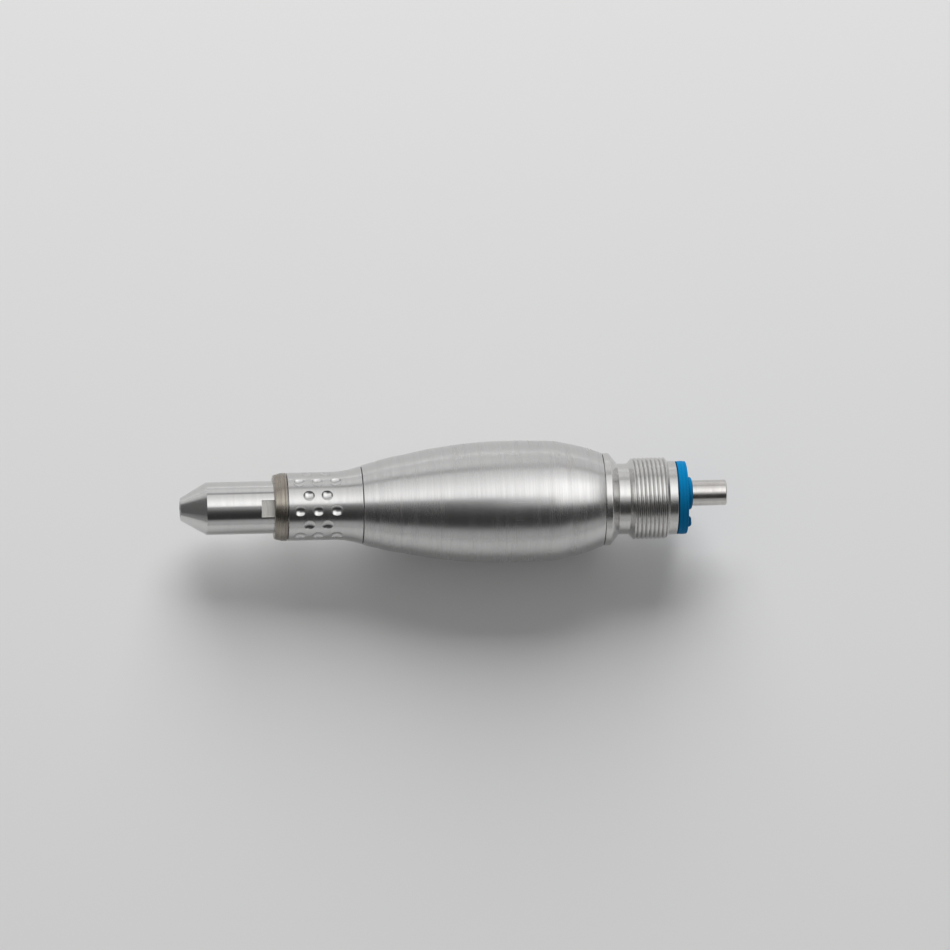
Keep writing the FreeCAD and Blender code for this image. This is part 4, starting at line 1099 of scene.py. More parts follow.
@dataclass
class TurningNose:
    """The nose cone, the bevelled ring and the dimpled finger grip, which turn together."""

    tip: float = -83.9
    tip_radius: float = 1.85
    tip_hole: float = 1.5
    hole_length: float = 1.43
    cone_rear: float = -79.6
    nose_radius: float = 4.35
    ring_front: float = -68.5
    tail_radius: float = 4.10
    tail_rear: float = -57.4
    bore: float = 3.55
    bore_front: float = -78.74
    snap_front: float = -59.52
    snap_rear: float = -58.88
    snap_bore: float = 3.80
    key_front: float = -70.65
    key_half: float = 1.4
    key_floor: float = 3.9
    key_turn: float = -17.0
    ring_front_radius: float = 5.25
    ring_bevel: float = 1.25
    ring_rear: float = -66.36
    seam_front: float = 0.50
    seam_rear: float = 0.33
    seam_depth: float = 0.05
    sleeve_bore: float = 4.12
    grip_front: float = -66.22
    grip_radius: float = 5.63
    grip_straight: float = 7.32
    grip_rear: float = -53.95
    flare_radius: float = 6.49
    flare_arc: float = 14.675
    grip_bush_front: float = -57.4
    grip_bush_bore: float = 5.27
    dimple_first: float = 1.86
    dimple_pitch: float = 3.0
    dimple_ball: float = 1.56
    dimple_depth: float = 0.33
    dimple_rows: int = 7
    dimple_places: tuple[tuple[int, ...], ...] = ((0, 2, 4), (1, 3))
    dimple_turn: float = -21.5
    shrink: float = 0.01
    notch_columns: int = 25
    nose_columns: int = 176
    grip_columns: int = 504
    grip_step: float = 0.075
    outer_depth: float = 0.05
    plain_rear: float = 0.5

    def nose_skin(self) -> tuple[Skin, int]:
        """The nose sleeve, with the key notch cut in front of the ring.

        Returns:
            The mesh, and how many of its faces come before the notch's.
        """
        outline = [
            Corner(self.tip, self.tip_hole, rounding=0.08),
            Corner(self.tip, self.tip_radius, rounding=0.10),
            Corner(self.cone_rear, self.nose_radius, rounding=0.12),
            Corner(self.key_front, self.nose_radius),
            Corner(self.ring_front, self.nose_radius),
            Corner(self.ring_front, self.tail_radius),
            Corner(self.tail_rear, self.tail_radius, rounding=0.06),
            Corner(self.tail_rear, self.bore, rounding=0.06),
            Corner(self.snap_rear, self.bore),
            Corner(self.snap_rear, self.snap_bore),
            Corner(self.snap_front, self.snap_bore),
            Corner(self.snap_front, self.bore),
            Corner(self.bore_front, self.bore),
            Corner(self.tip + self.hole_length, self.tip_hole),
        ]
        rings = trace(outline)
        edge = math.asin(self.key_half / self.nose_radius)
        middle = math.radians(self.key_turn)
        inside = np.linspace(-edge, edge, self.notch_columns)
        outside = np.linspace(edge, FULL_TURN - edge, self.nose_columns)[1:-1]
        angles = np.concatenate([inside, outside]) + middle
        sweep = Sweep.of(rings, angles)
        cut = len(inside) - 1
        fronts = [k for k, ring in enumerate(rings) if ring.x == self.key_front]
        shoulder = fronts[0] + 1
        keep = np.ones((len(rings), len(angles)), bool)
        keep[fronts[0], :cut] = False
        keep[shoulder, :cut] = False
        skin = Skin()
        numbers = skin.add_sweep(sweep, keep=keep)
        across = np.linspace(-self.key_half, self.key_half, len(inside))
        sine, cosine = math.sin(middle), math.cos(middle)

        def floor_line(station: float) -> np.ndarray:
            """Points along the notch's floor at one station."""
            return np.stack([np.full(len(across), station), across * cosine + self.key_floor * sine,
                             self.key_floor * cosine - across * sine], axis=1)

        turned_faces = len(skin.faces)
        front = skin.add_points(floor_line(self.key_front))
        rear = skin.add_points(floor_line(self.ring_front))
        top = numbers[fronts[0], :cut + 1]
        top_rear = numbers[shoulder, :cut + 1]
        tail = numbers[shoulder + 1, :cut + 1]
        skin.add_flat(np.stack([top[:-1], front[:-1], front[1:], top[1:]], axis=1))
        skin.add_flat(np.stack([front[:-1], rear[:-1], rear[1:], front[1:]], axis=1))
        skin.add_flat(np.stack([rear[:-1], tail[:-1], tail[1:], rear[1:]], axis=1))
        skin.add_flat(np.array([[top[0], top_rear[0], rear[0], front[0]],
                                [top[-1], front[-1], rear[-1], top_rear[-1]]]))
        skin.add_flat(np.array([[top_rear[0], tail[0], rear[0]], [top_rear[-1], rear[-1], tail[-1]]]))
        return skin, turned_faces

    def ring_skin(self) -> Skin:
        """The bevelled ring, with the fine groove near its rear edge.

        Returns:
            The mesh.
        """
        rear = self.ring_rear
        radius = self.grip_radius - self.shrink
        floor = radius - self.seam_depth
        return Skin().add_turned([
            Corner(self.ring_front, self.sleeve_bore, rounding=0.04),
            Corner(self.ring_front, self.ring_front_radius, rounding=0.18),
            Corner(self.ring_front + self.ring_bevel, radius, rounding=0.30),
            Corner(rear - self.seam_front, radius, rounding=0.03),
            Corner(rear - self.seam_front + self.seam_depth, floor, rounding=0.02),
            Corner(rear - self.seam_rear - self.seam_depth, floor, rounding=0.02),
            Corner(rear - self.seam_rear, radius, rounding=0.03),
            Corner(rear, radius, rounding=0.07),
            Corner(rear, self.sleeve_bore, rounding=0.04),
        ])

    def dimples(self) -> list[Dimple]:
        """The dimples: rows of three, and between them rows of two, at their places in half pitches.

        Returns:
            The dimples.
        """
        made = []
        for row in range(2 * self.dimple_rows):
            angle = math.radians(self.dimple_turn + row * 180 / self.dimple_rows)
            for place in self.dimple_places[row % 2]:
                station = self.grip_front + self.dimple_first + self.dimple_pitch * place / 2
                made.append(Dimple(station, angle, self.dimple_ball, self.dimple_depth, self.grip_radius))
        return made

    def grip_skin(self) -> Skin:
        """The finger grip, with its dimples carved as parts of balls.

        Returns:
            The mesh.
        """
        front = self.grip_front
        radius = self.grip_radius - self.shrink
        outline = [
            Corner(front, self.sleeve_bore, rounding=0.04),
            Corner(front, radius, rounding=0.09, step=self.grip_step),
            Corner(front + self.grip_straight, radius),
            Arc(self.flare_arc, Bulge.INWARD, step=math.degrees(self.grip_step / self.flare_arc)),
            Corner(self.grip_rear, self.flare_radius, rounding=0.10),
            Corner(self.grip_rear, self.grip_bush_bore, rounding=0.05),
            Corner(self.grip_bush_front, self.grip_bush_bore),
            Corner(self.grip_bush_front, self.sleeve_bore),
        ]
        rings = trace(outline)
        angles = even_turn(self.grip_columns)
        sweep = Sweep.of(rings, angles)
        stations = np.array([ring.x for ring in rings])
        radii = np.array([ring.r for ring in rings])
        outer = np.flatnonzero((radii > self.grip_radius - self.outer_depth)
                               & (stations < self.grip_rear - self.plain_rear))
        cell = max(self.grip_step, FULL_TURN * radius / self.grip_columns)
        grid = DimpledGrid(stations[outer], radii[outer], angles, radius, cell)
        for dimple in self.dimples():
            grid.carve(dimple)
        sweep.points[outer] = grid.points()
        normals = np.zeros(sweep.points.shape)
        normals[outer] = grid.inward
        carved = np.zeros((len(rings), len(angles)), bool)
        carved[outer] = grid.carved
        below = np.roll(carved, -1, axis=0)
        in_dimple = carved | below | np.roll(carved, -1, axis=1) | np.roll(below, -1, axis=1)
        skin = Skin()
        numbers = skin.add_sweep(sweep, keep=~in_dimple)
        ring, column = np.nonzero(in_dimple)
        other_ring, other_column = (ring + 1) % len(rings), (column + 1) % len(angles)
        pick = [(ring, column), (other_ring, column), (other_ring, other_column), (ring, other_column)]
        skin.add_faces(np.stack([numbers[place] for place in pick], axis=1),
                       np.stack([normals[place] for place in pick], axis=1))
        return skin

    def build(self, wardrobe: Wardrobe) -> None:
        """Make the three pieces and dress what turns with them.

        Args:
            wardrobe: The materials.
        """
        skin, turned_faces = self.nose_skin()
        cone = wardrobe.dress_piece(skin, "nose_cone", Slot.NOSE_STEEL, Body.NOSE, "nose_sleeve")
        cone.data.materials.append(wardrobe.milled)
        for face in cone.data.polygons[turned_faces:]:
            face.material_index = 1
        wardrobe.dress_piece(self.ring_skin(), "bevelled_ring", Slot.RING_BRONZE, Body.NOSE, "grip_ring")
        wardrobe.dress_piece(self.grip_skin(), "dimpled_grip", Slot.GRIP_STEEL, Body.NOSE, "finger_grip")
        wardrobe.dress_nodes(Slot.STEEL_INNER, "snap_ring")


@dataclass
class Barrel:
    """The bulged outer shell and what it holds for the turning nose."""

    front: float = -53.85
    length: float = 39.9
    front_radius: float = 6.55
    shoulder: float = 2.5
    shoulder_radius: float = 7.2
    shoulder_arc: float = 25.0
    slope: float = 7.0
    slope_arc: float = 26.0
    slope_radius: float = 8.17
    crest: float = 23.9
    crest_radius: float = 10.08
    rear_bend: float = 30.9
    rear_bend_radius: float = 9.93
    rear_arc: float = 13.2
    cone: float = 34.2
    cone_radius: float = 9.4
    cone_arc: float = 27.0
    rear_radius: float = 7.7
    seat_radius: float = 5.6
    seat_length: float = 4.5
    bore: float = 6.9
    recess_start: float = 15.5
    recess_end: float = 33.5
    recess_ramp: float = 1.5
    recess_radius: float = 8.4
    shrink: float = 0.02
    columns: int = 256

    def arc_to_crest(self, station: float, radius: float) -> float:
        """The radius of an arc that runs level at the crest.

        Args:
            station: Where its other end lies, from the front.
            radius: The barrel's radius there.

        Returns:
            The arc's radius.
        """
        run, rise = self.crest - station, self.crest_radius - radius
        return (run ** 2 + rise ** 2) / (2 * rise)

    def skin(self) -> Skin:
        """The shell, closed by its bore.

        Returns:
            The mesh.
        """
        start = self.front
        rear = start + self.length
        thin = self.shrink
        rise_arc = self.arc_to_crest(self.slope, self.slope_radius)
        fall_arc = self.arc_to_crest(self.rear_bend, self.rear_bend_radius)
        return Skin().add_turned([
            Corner(start, self.seat_radius, rounding=0.05),
            Corner(start, self.front_radius - thin, rounding=0.10),
            Arc(self.shoulder_arc, Bulge.OUTWARD),
            Corner(start + self.shoulder, self.shoulder_radius - thin),
            Arc(self.slope_arc, Bulge.OUTWARD),
            Corner(start + self.slope, self.slope_radius - thin),
            Arc(rise_arc, Bulge.OUTWARD, step=0.5),
            Corner(start + self.crest, self.crest_radius - thin),
            Arc(fall_arc, Bulge.OUTWARD, step=0.4),
            Corner(start + self.rear_bend, self.rear_bend_radius - thin),
            Arc(self.rear_arc, Bulge.OUTWARD),
            Corner(start + self.cone, self.cone_radius - thin),
            Arc(self.cone_arc, Bulge.OUTWARD),
            Corner(rear, self.rear_radius - thin, rounding=0.10),
            Corner(rear, self.bore, rounding=0.05),
            Corner(start + self.recess_end, self.bore),
            Corner(start + self.recess_end - self.recess_ramp, self.recess_radius),
            Corner(start + self.recess_start + self.recess_ramp, self.recess_radius),
            Corner(start + self.recess_start, self.bore),
            Corner(start + self.seat_length, self.bore),
            Corner(start + self.seat_length, self.seat_radius),
        ], self.columns)

    def build(self, wardrobe: Wardrobe) -> None:
        """Make the shell and dress the housing, bush and seals inside its front.

        Args:
            wardrobe: The materials.
        """
        wardrobe.dress_piece(self.skin(), "barrel_skin", Slot.BARREL_STEEL, Body.BARREL, "barrel_shell")
        wardrobe.dress_nodes(Slot.STEEL_INNER, "front_housing", "bearing_nut", "bearing_circlip")
        wardrobe.dress_nodes(Slot.BUSH_POLYMER, "swivel_bush")
        wardrobe.dress_nodes(Slot.SEAL_BLACK, "front_swivel_seal", "rear_swivel_seal")


@dataclass
class HoseEnd:
    """The threaded connector, the sealing gasket and the exhaust tube."""

    spigot_front: float = -21.7
    spigot_radius: float = 6.88
    groove: float = 5.3
    groove_width: float = 0.8
    groove_floor: float = 6.28
    collar_front: float = -13.85
    collar_radius: float = 7.65
    collar_length: float = 1.06
    cone_rear: float = -11.56
    cone_small: float = 6.1
    cone_step: float = 0.04
    neck_radius: float = 5.85
    thread_front: float = -9.68
    thread_rear: float = -3.10
    thread_radius: float = 6.75
    thread_pitch: float = 0.70
    thread_depth: float = 0.30
    crest_flat: float = 0.32
    crest_rounding: float = 0.13
    front_lead: float = 0.75
    rear_lead: float = 0.45
    run_out: float = 0.42
    thread_step: float = 0.05
    thread_columns: int = 180
    flank_angle: float = 30.0
    ridge_sunk: float = 0.04
    ridge_bottom: float = 0.1
    chamfer_cover: float = 0.004
    rim_radius: float = 6.1
    rim_rear: float = -1.72
    rim_edge: float = 0.3
    gasket_radius: float = 6.07
    gasket_gap: float = 0.16
    gap_depth: float = 0.70
    hub_edge: float = 0.2
    band_front: float = 0.55
    band_rear: float = 1.25
    band_slope: float = 0.07
    front_step: float = 0.03
    rear_step: float = 0.05
    face_edge: float = 0.35
    boss_height: float = 0.7
    boss_rounding: float = 0.42
    boss_foot: float = 0.12
    boss_foot_rounding: float = 0.114
    exhaust_height: float = 2.8
    exhaust_boss: float = 2.7
    exhaust_hole: float = 1.94
    drive_height: float = -3.1
    drive_hole: float = 1.15
    port_offset: float = 4.1
    port_boss: float = 0.9
    port_hole: float = 0.6
    port_depth: float = 4.0
    tube_front: float = -7.9
    tube_step: float = 0.72
    tube_rear: float = 6.42
    tube_small: float = 1.92
    tube_radius: float = 2.12
    tube_bore: float = 1.67
    tube_room: float = 0.1
    tube_columns: int = 128
    shrink: float = 0.01

    def holes(self) -> list[Hole]:
        """The four air holes, each as (y, z, radius)."""
        return [(0.0, self.exhaust_height, self.exhaust_hole), (0.0, self.drive_height, self.drive_hole),
                (self.port_offset, 0.0, self.port_hole), (-self.port_offset, 0.0, self.port_hole)]

    def chamfers(self) -> Pair:
        """How steeply the thread's front chamfer rises from the neck, and its rear one falls to the rim."""
        return ((self.thread_radius - self.neck_radius) / self.front_lead,
                (self.thread_radius - self.rim_radius) / self.rear_lead)

    def envelope(self, x: np.ndarray) -> np.ndarray:
        """The largest radius of the thread, with its chamfered ends.

        Args:
            x: Stations along the thread.

        Returns:
            The radius at each.
        """
        rise, fall = self.chamfers()
        front = self.neck_radius + (x - self.thread_front) * rise
        rear = self.rim_radius + (self.thread_rear - x) * fall
        return np.minimum(np.minimum(front, rear), self.thread_radius)

    def add_thread(self, skin: Skin) -> None:
        """Add the thread's ridge to the connector, cut back to the chamfers at both ends.

        Args:
            skin: The connector's mesh.
        """
        half = self.crest_flat / 2
        foot = half + self.thread_depth * math.tan(math.radians(self.flank_angle)) + self.ridge_sunk
        base = self.thread_radius - self.thread_depth - self.ridge_sunk
        bottom = self.neck_radius - self.ridge_bottom
        crest = self.thread_radius - self.shrink
        outline = [
            Corner(-foot, bottom),
            Corner(-foot, base, step=self.thread_step),
            Corner(-half, crest, rounding=self.crest_rounding, step=self.thread_step),
            Corner(half, crest, rounding=self.crest_rounding, step=self.thread_step),
            Corner(foot, base),
            Corner(foot, bottom),
        ]
        turns = (self.thread_rear + 2 * self.run_out - self.thread_front) / self.thread_pitch
        angles = np.linspace(0, turns * FULL_TURN, int(turns * self.thread_columns))
        start = self.thread_rear + self.run_out
        rings = [Ring(start + ring.x, ring.r, ring.before, ring.after) for ring in trace(outline)]
        sweep = Sweep.of(rings, angles, lead=-self.thread_pitch)
        radius = np.hypot(sweep.points[..., 1], sweep.points[..., 2])
        limit = np.maximum(self.envelope(sweep.points[..., 0]) - self.chamfer_cover,
                           self.neck_radius - 2 * self.ridge_sunk)
        share = np.minimum(1.0, limit / radius)
        sweep.points[..., 1:] *= share[..., None]
        trimmed = share < 1.0
        rise, fall = self.chamfers()
        slope = np.where(sweep.points[..., 0] < (self.thread_front + self.thread_rear) / 2, -rise, fall)
        length = np.sqrt(1 + slope ** 2)
        chamfer = np.stack([slope / length, np.sin(angles) / length, np.cos(angles) / length], axis=-1)
        sweep.before[trimmed] = chamfer[trimmed]
        sweep.after[trimmed] = chamfer[trimmed]
        numbers = skin.add_sweep(sweep, wraps=False)
        skin.add_flat(numbers[::-1, 0][None, :])
        skin.add_flat(numbers[:, -1][None, :])

    def connector_skin(self) -> Skin:
        """The connector: spigot, collar, neck, threaded part, rim and rear face with its holes.

        Returns:
            The mesh.
        """
        start = self.spigot_front
        groove_front = start + self.groove
        groove_rear = groove_front + self.groove_width
        base = self.thread_radius - self.thread_depth
        rise, fall = self.chamfers()
        front_foot = self.thread_front + (base - self.neck_radius) / rise
        rear_foot = self.thread_rear - (base - self.rim_radius) / fall
        thin = self.shrink
        face = self.rim_radius - self.rim_edge
        skin = Skin().add_turned([
            Corner(start, 0.0),
            Corner(start, self.spigot_radius, rounding=0.1),
            Corner(groove_front, self.spigot_radius),
            Corner(groove_front, self.groove_floor),
            Corner(groove_rear, self.groove_floor),
            Corner(groove_rear, self.spigot_radius),
            Corner(self.collar_front, self.spigot_radius),
            Corner(self.collar_front, self.collar_radius - thin, rounding=0.10),
            Corner(self.collar_front + self.collar_length, self.collar_radius - thin, rounding=0.32),
            Corner(self.cone_rear, self.cone_small, rounding=0.05),
            Corner(self.cone_rear + self.cone_step, self.neck_radius, rounding=0.15),
            Corner(self.thread_front, self.neck_radius, rounding=0.02),
            Corner(front_foot, base, rounding=0.02),
            Corner(rear_foot, base, rounding=0.02),
            Corner(self.thread_rear, self.rim_radius, rounding=0.02),
            Corner(self.rim_rear, self.rim_radius - thin, rounding=0.16),
            Corner(self.rim_rear, face),
        ], closed=False)
        skin.add_holed_disc(self.rim_rear, face, self.holes(), Facing.HOSE)
        for y, z, radius in self.holes():
            end = self.tube_front - self.tube_room if z > 0 else self.rim_rear - self.port_depth
            skin.add_turned([Corner(self.rim_rear, radius), Corner(end, radius), Corner(end, 0.0)],
                            columns_round(radius), closed=False, centre=(y, z))
        self.add_thread(skin)
        return skin

    def gasket_skin(self) -> Skin:
        """The gasket, with its bosses, its holes, a raised band and a gap in front of it.

        Returns:
            The mesh.
        """
        front = self.rim_rear
        face = self.gasket_radius - self.face_edge
        hub = self.gasket_radius - self.gap_depth
        hub_face = hub - self.hub_edge
        radius = self.gasket_radius - self.shrink
        band_front, band_rear = front + self.band_front, front + self.band_rear
        skin = Skin().add_turned([
            Corner(front, hub_face),
            Corner(front, hub),
            Corner(front + self.gasket_gap, hub),
            Corner(front + self.gasket_gap, radius - self.front_step, rounding=0.05),
            Corner(band_front, radius - self.front_step, rounding=0.03),
            Corner(band_front + self.band_slope, radius, rounding=0.03),
            Corner(band_rear, radius, rounding=0.03),
            Corner(band_rear + self.band_slope, radius - self.rear_step, rounding=0.03),
            Corner(0.0, radius - self.rear_step, rounding=0.16),
            Corner(0.0, face),
        ], closed=False)
        skin.add_holed_disc(front, hub_face, self.holes(), Facing.NOSE)
        bosses = [(0.0, self.exhaust_height, self.exhaust_boss, self.exhaust_hole),
                  (-self.port_offset, 0.0, self.port_boss, self.port_hole)]
        plain = [(0.0, self.drive_height, self.drive_hole), (self.port_offset, 0.0, self.port_hole)]
        rims = [(y, z, wide + self.boss_foot) for y, z, wide, _ in bosses]
        skin.add_holed_disc(0.0, face, rims + plain, Facing.HOSE)
        for y, z, wide, hole in bosses:
            skin.add_turned([
                Corner(0.0, wide + self.boss_foot),
                Corner(0.0, wide, rounding=self.boss_foot_rounding),
                Corner(self.boss_height, wide, rounding=self.boss_rounding),
                Corner(self.boss_height, hole, rounding=0.05),
                Corner(front, hole),
            ], columns_round(wide), closed=False, centre=(y, z))
        for y, z, hole in plain:
            skin.add_turned([Corner(0.0, hole), Corner(front, hole)], columns_round(hole), closed=False,
                            centre=(y, z))
        return skin

    def tube_skin(self) -> Skin:
        """The exhaust tube, stepped where it enters the boss.

        Returns:
            The mesh.
        """
        radius = self.tube_radius - self.shrink
        return Skin().add_turned([
            Corner(self.tube_front, self.tube_bore, rounding=0.05),
            Corner(self.tube_front, self.tube_small, rounding=0.08),
            Corner(self.tube_step, self.tube_small),
            Corner(self.tube_step, radius, rounding=0.06),
            Corner(self.tube_rear, radius, rounding=0.24),
            Corner(self.tube_rear, self.tube_bore, rounding=0.10),
        ], self.tube_columns, centre=(0.0, self.exhaust_height))

    def build(self, wardrobe: Wardrobe) -> None:
        """Make the hose end's pieces and dress its seal.

        Args:
            wardrobe: The materials.
        """
        wardrobe.dress_piece(self.connector_skin(), "threaded_connector", Slot.CONNECTOR_STEEL, Body.BARREL,
                             "hose_connector")
        wardrobe.dress_piece(self.gasket_skin(), "sealing_gasket", Slot.GASKET_BLUE, Body.BARREL,
                             "hose_gasket")
        wardrobe.dress_piece(self.tube_skin(), "exhaust_pipe", Slot.TUBE_STEEL, Body.BARREL, "exhaust_tube")
        wardrobe.dress_nodes(Slot.SEAL_BLACK, "connector_seal")


def races(*bearings: str) -> tuple[str, ...]:
    """The nodes of some bearings' inner and outer races."""
    return tuple(f"{bearing}_bearing_{race}_race" for bearing in bearings for race in ("inner", "outer"))


@dataclass
class SpindleUnit:
    """The hollow spindle, its chuck and its bearings."""

    steel: tuple[str, ...] = ("output_spindle", "shank_chuck", "shank_stop",
                              *races("spindle_front", "spindle_rear"))

    def build(self, wardrobe: Wardrobe) -> None:
        """Dress the spindle's pieces."""
        wardrobe.dress_nodes(Slot.STEEL_INNER, *self.steel)


@dataclass
class GearTrain:
    """The planetary gears between the motor and the spindle."""

    planets: int = 3
    steel: tuple[str, ...] = ("carrier_plate", "planet_pins", "sun_gear", "ring_gear")

    def build(self, wardrobe: Wardrobe) -> None:
        """Dress the gears."""
        gears = (f"planet_gear_{number + 1}" for number in range(self.planets))
        wardrobe.dress_nodes(Slot.STEEL_INNER, *self.steel, *gears)


@dataclass
class AirMotor:
    """The vane motor in the barrel."""

    steel: tuple[str, ...] = ("front_end_plate", "rear_end_plate", "motor_cylinder", "motor_rotor",
                              "cylinder_dowels", "preload_washer", *races("motor_front", "motor_rear"))

    def build(self, wardrobe: Wardrobe) -> None:
        """Dress the motor's pieces.

        Args:
            wardrobe: The materials.
        """
        wardrobe.dress_nodes(Slot.STEEL_INNER, *self.steel)
        wardrobe.dress_nodes(Slot.VANE_PHENOLIC, "rotor_vanes")
        wardrobe.dress_nodes(Slot.SEAL_BLACK, "manifold_seal")


# Studio

@dataclass
class Studio:
    """Camera, floor, light tent, lamp and surroundings.

    The lens, the target and the floor's height are in millimetres, and the other lengths in metres. Angles
    are in degrees.
    """

    lens: float = 400.0
    distance: float = 1.746
    turn: float = 14.0
    swing: float = 4.85
    roll: float = 1.36
    target: tuple[float, float, float] = (-34.915, 4.395, 1.096)
    floor_height: float = -10.08
    floor_size: float = 6.0
    floor_level: float = 0.70
    lamp_size: float = 0.8
    lamp_power: float = 13.5
    lamp_place: tuple[float, float, float] = (-0.03, 0.85, 0.53)
    world_light: float = 0.33
    world_seen: float = 0.72
    tent_radius: float = 0.70
    tent_half_length: float = 2.2
    tent_middle: float = -0.035
    tent_steps: int = 120
    rear_fade: Pair = (-0.05, 0.30)
    end_fade: Pair = (0.55, 0.95)
    band_scale: float = 2.0
    front_bands: tuple[Pair, ...] = (
        (-90, .26), (-85, .28), (-76, .45), (-66, .45), (-57, .36), (-52, .20), (-49, .045), (-40, .035),
        (-28, .04), (-18, .065), (-10, .115), (-4, .19), (0, .22), (4, .30), (8, .80), (10, 1.25), (20, 1.35),
        (30, 1.20), (41, 1.0), (53, .85), (62, .80), (65, .26), (69, .26), (72, .75), (81, .82), (90, .80))
    rear_bands: tuple[Pair, ...] = (
        (-90, .26), (-85, .28), (-76, .45), (-66, .45), (-57, .36), (-49, .06), (-40, .04), (-28, .05),
        (-18, .09), (-12, .20), (-8, .60), (-4, 1.10), (4, 1.35), (11, 1.60), (35, 1.60), (50, 1.10),
        (60, .95), (70, .85), (72, .30), (75, .30), (78, .70), (90, .70))
    end_bands: tuple[Pair, ...] = (
        (-90, .22), (-50, .22), (-40, .12), (62, .12), (68, .45), (90, .45))

    def place_camera(self) -> None:
        """Stand the camera at the photograph's viewing angle."""
        tilt = Matrix.Rotation(math.radians(self.turn), 3, "X")
        swing = math.radians(self.swing)
        roll = math.radians(self.roll)
        toward = tilt @ Vector((-math.sin(swing), 0, math.cos(swing)))
        level = tilt @ Vector((math.cos(swing), 0, math.sin(swing)))
        upright = tilt @ Vector((0, 1, 0))
        up = upright * math.cos(roll) + level * math.sin(roll)
        right = level * math.cos(roll) - upright * math.sin(roll)
        camera = bpy.data.cameras.new("studio_camera")
        camera.lens = self.lens
        camera.sensor_width = 36.0
        camera.clip_start = 0.05
        camera.clip_end = 50.0
        holder = add_object("studio_camera", camera)
        pose = Matrix((right, up, toward)).transposed().to_4x4()
        pose.translation = Vector(self.target) * MM + toward * self.distance
        holder.matrix_world = pose
        bpy.context.scene.camera = holder

    def lay_floor(self) -> None:
        """Lay the plain pale floor, which is see-through from below."""
        half = self.floor_size / 2
        height = self.floor_height * MM
        mesh = bpy.data.meshes.new("studio_floor")
        mesh.from_pydata([(-half, -half, height), (half, -half, height), (half, half, height),
                          (-half, half, height)], [], [(0, 1, 2, 3)])
        material, wiring, shader = new_material("pale_floor")
        shader.inputs["Base Color"].default_value = grey(self.floor_level)
        shader.inputs["Roughness"].default_value = 0.9
        shader.inputs["Specular IOR Level"].default_value = 0.1
        clear = wiring.node("ShaderNodeBsdfTransparent")
        choice = wiring.node("ShaderNodeMixShader")
        wiring.put(wiring.node("ShaderNodeNewGeometry").outputs["Backfacing"], choice.inputs["Fac"])
        wiring.put(shader.outputs[0], choice.inputs[1])
        wiring.put(clear.outputs[0], choice.inputs[2])
        wiring.put(choice.outputs[0], material.node_tree.nodes["Material Output"].inputs["Surface"])
        mesh.materials.append(material)
        floor = add_object("studio_floor", mesh)

    def tent_material(self) -> bpy.types.Material:
        """The tent's light, brighter and darker by the angle round the handpiece.

        Returns:
            The material.
        """
        material, wiring, shader = new_material("tent_light")
        nodes = material.node_tree.nodes
        nodes.remove(shader)
        parts = wiring.node("ShaderNodeSeparateXYZ")
        wiring.put(wiring.node("ShaderNodeTexCoord").outputs["Object"], parts.inputs[0])
        angle = wiring.maths("ARCTAN2", parts.outputs["Y"], parts.outputs["Z"])
        share = wiring.maths("MULTIPLY_ADD", angle, 1 / math.pi, 0.5)
        front, rear, end = (self.band_ramp(wiring, share, bands)
                            for bands in (self.front_bands, self.rear_bands, self.end_bands))
        toward_rear = wiring.ramp(parts.outputs["X"], *self.rear_fade)
        toward_end = wiring.ramp(wiring.maths("ABSOLUTE", parts.outputs["X"]), *self.end_fade)
        level = wiring.blend(toward_end, wiring.blend(toward_rear, front, rear), end)
        glow = wiring.node("ShaderNodeEmission")
        glow.inputs["Strength"].default_value = self.band_scale
        wiring.put(level, glow.inputs["Color"])
        wiring.put(glow.outputs[0], nodes["Material Output"].inputs["Surface"])
        return material

    def band_ramp(self, wiring: Wiring, share: bpy.types.NodeSocket,
                  bands: tuple[Pair, ...]) -> bpy.types.NodeSocket:
        """A colour ramp that holds one set of bands.

        Args:
            wiring: The material's wiring.
            share: The place round the half turn, from 0 to 1.
            bands: The bands, each as its angle in degrees and its level.

        Returns:
            The level, over the bands' scale, because a ramp holds no more than 1.
        """
        ramp = wiring.node("ShaderNodeValToRGB")
        wiring.put(share, ramp.inputs[0])
        elements = ramp.color_ramp.elements
        while len(elements) < len(bands):
            elements.new(0.5)
        for element, (degrees, level) in zip(elements, bands):
            element.position = degrees / 180 + 0.5
            element.color = grey(level / self.band_scale)
        return ramp.outputs["Color"]

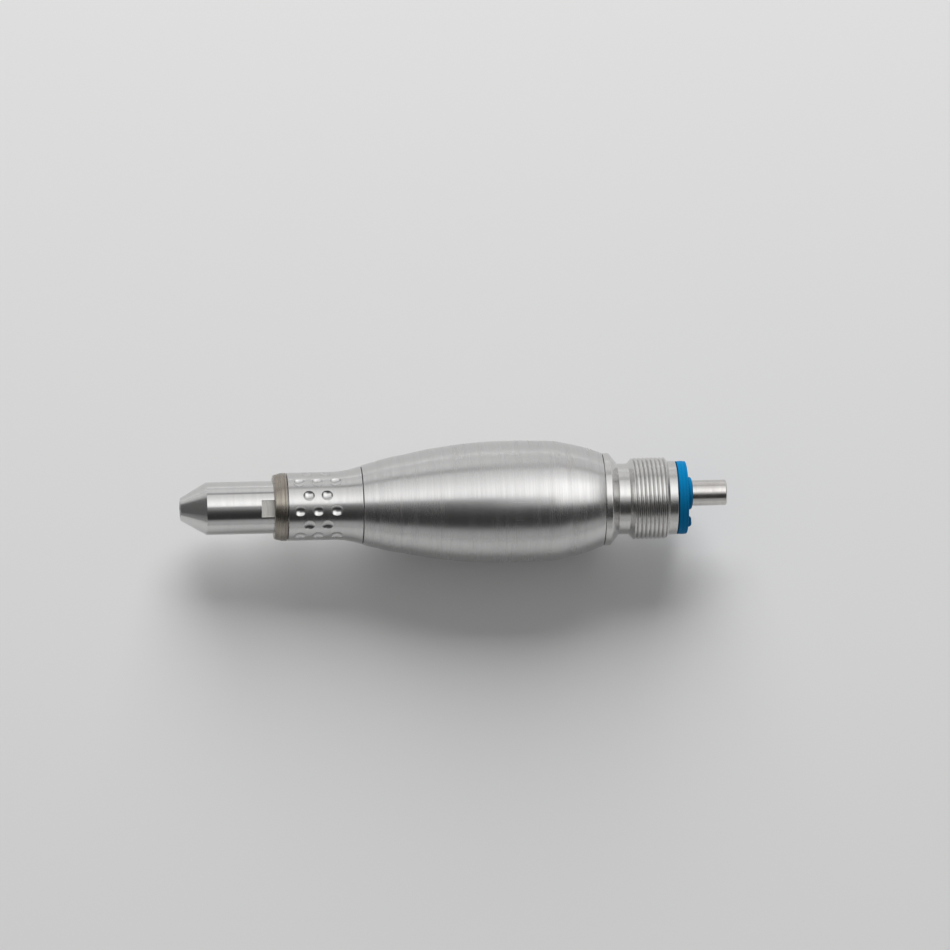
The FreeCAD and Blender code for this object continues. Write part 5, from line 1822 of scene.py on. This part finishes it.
    def raise_tent(self) -> None:
        """Raise the half-round light tent over the handpiece, in line with the camera."""
        angles = np.radians(np.linspace(-90, 90, self.tent_steps + 1))
        points = []
        for x in (-self.tent_half_length, self.tent_half_length):
            points.extend((x, self.tent_radius * math.sin(a), self.tent_radius * math.cos(a)) for a in angles)
        row = len(angles)
        faces = [(k, k + 1, row + k + 1, row + k) for k in range(row - 1)]
        faces += [tuple(range(row)), tuple(range(row, 2 * row))]
        mesh = bpy.data.meshes.new("light_tent")
        mesh.from_pydata(points, [], faces)
        mesh.materials.append(self.tent_material())
        tent = add_object("light_tent", mesh)
        tilt = Matrix.Rotation(math.radians(self.turn), 4, "X")
        tent.matrix_world = Matrix.Translation((self.tent_middle, 0, 0)) @ tilt
        tent.visible_camera = False
        tent.visible_diffuse = False
        tent.visible_shadow = False

    def hang_fill(self) -> None:
        """Hang a broad soft lamp that lights the floor and matte surfaces evenly."""
        lamp = bpy.data.lights.new("fill_lamp", "AREA")
        lamp.shape = "SQUARE"
        lamp.size = self.lamp_size
        lamp.energy = self.lamp_power
        holder = add_object("fill_lamp", lamp)
        holder.location = self.lamp_place
        holder.rotation_euler = (-math.atan2(*self.lamp_place[1:]), 0, 0)
        holder.visible_glossy = False
        holder.visible_camera = False

    def set_surroundings(self) -> None:
        """Set the pale surroundings and the plain view transform."""
        scene = bpy.context.scene
        scene.view_settings.view_transform = "Standard"
        world = bpy.data.worlds.new("studio_surroundings")
        world.use_nodes = True
        wiring = Wiring(world.node_tree)
        rays = wiring.node("ShaderNodeLightPath").outputs
        seen = wiring.maths("MAXIMUM", rays["Is Camera Ray"], rays["Is Glossy Ray"])
        wiring.put(wiring.blend(seen, grey(self.world_light), grey(self.world_seen)),
                   world.node_tree.nodes["Background"].inputs["Color"])
        scene.world = world

    def build(self) -> None:
        """Set up the whole studio."""
        self.place_camera()
        self.lay_floor()
        self.raise_tent()
        self.hang_fill()
        self.set_surroundings()


def main() -> None:
    """Build the studio and every sub-assembly, from the nose to the hose end."""
    logging.basicConfig(level=logging.INFO, format="%(message)s")
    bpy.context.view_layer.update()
    wardrobe = Wardrobe()
    for part in (TurningNose(), Barrel(), SpindleUnit(), GearTrain(), AirMotor(), HoseEnd()):
        part.build(wardrobe)
    Studio().build()


if __name__ == "__main__":
    main()
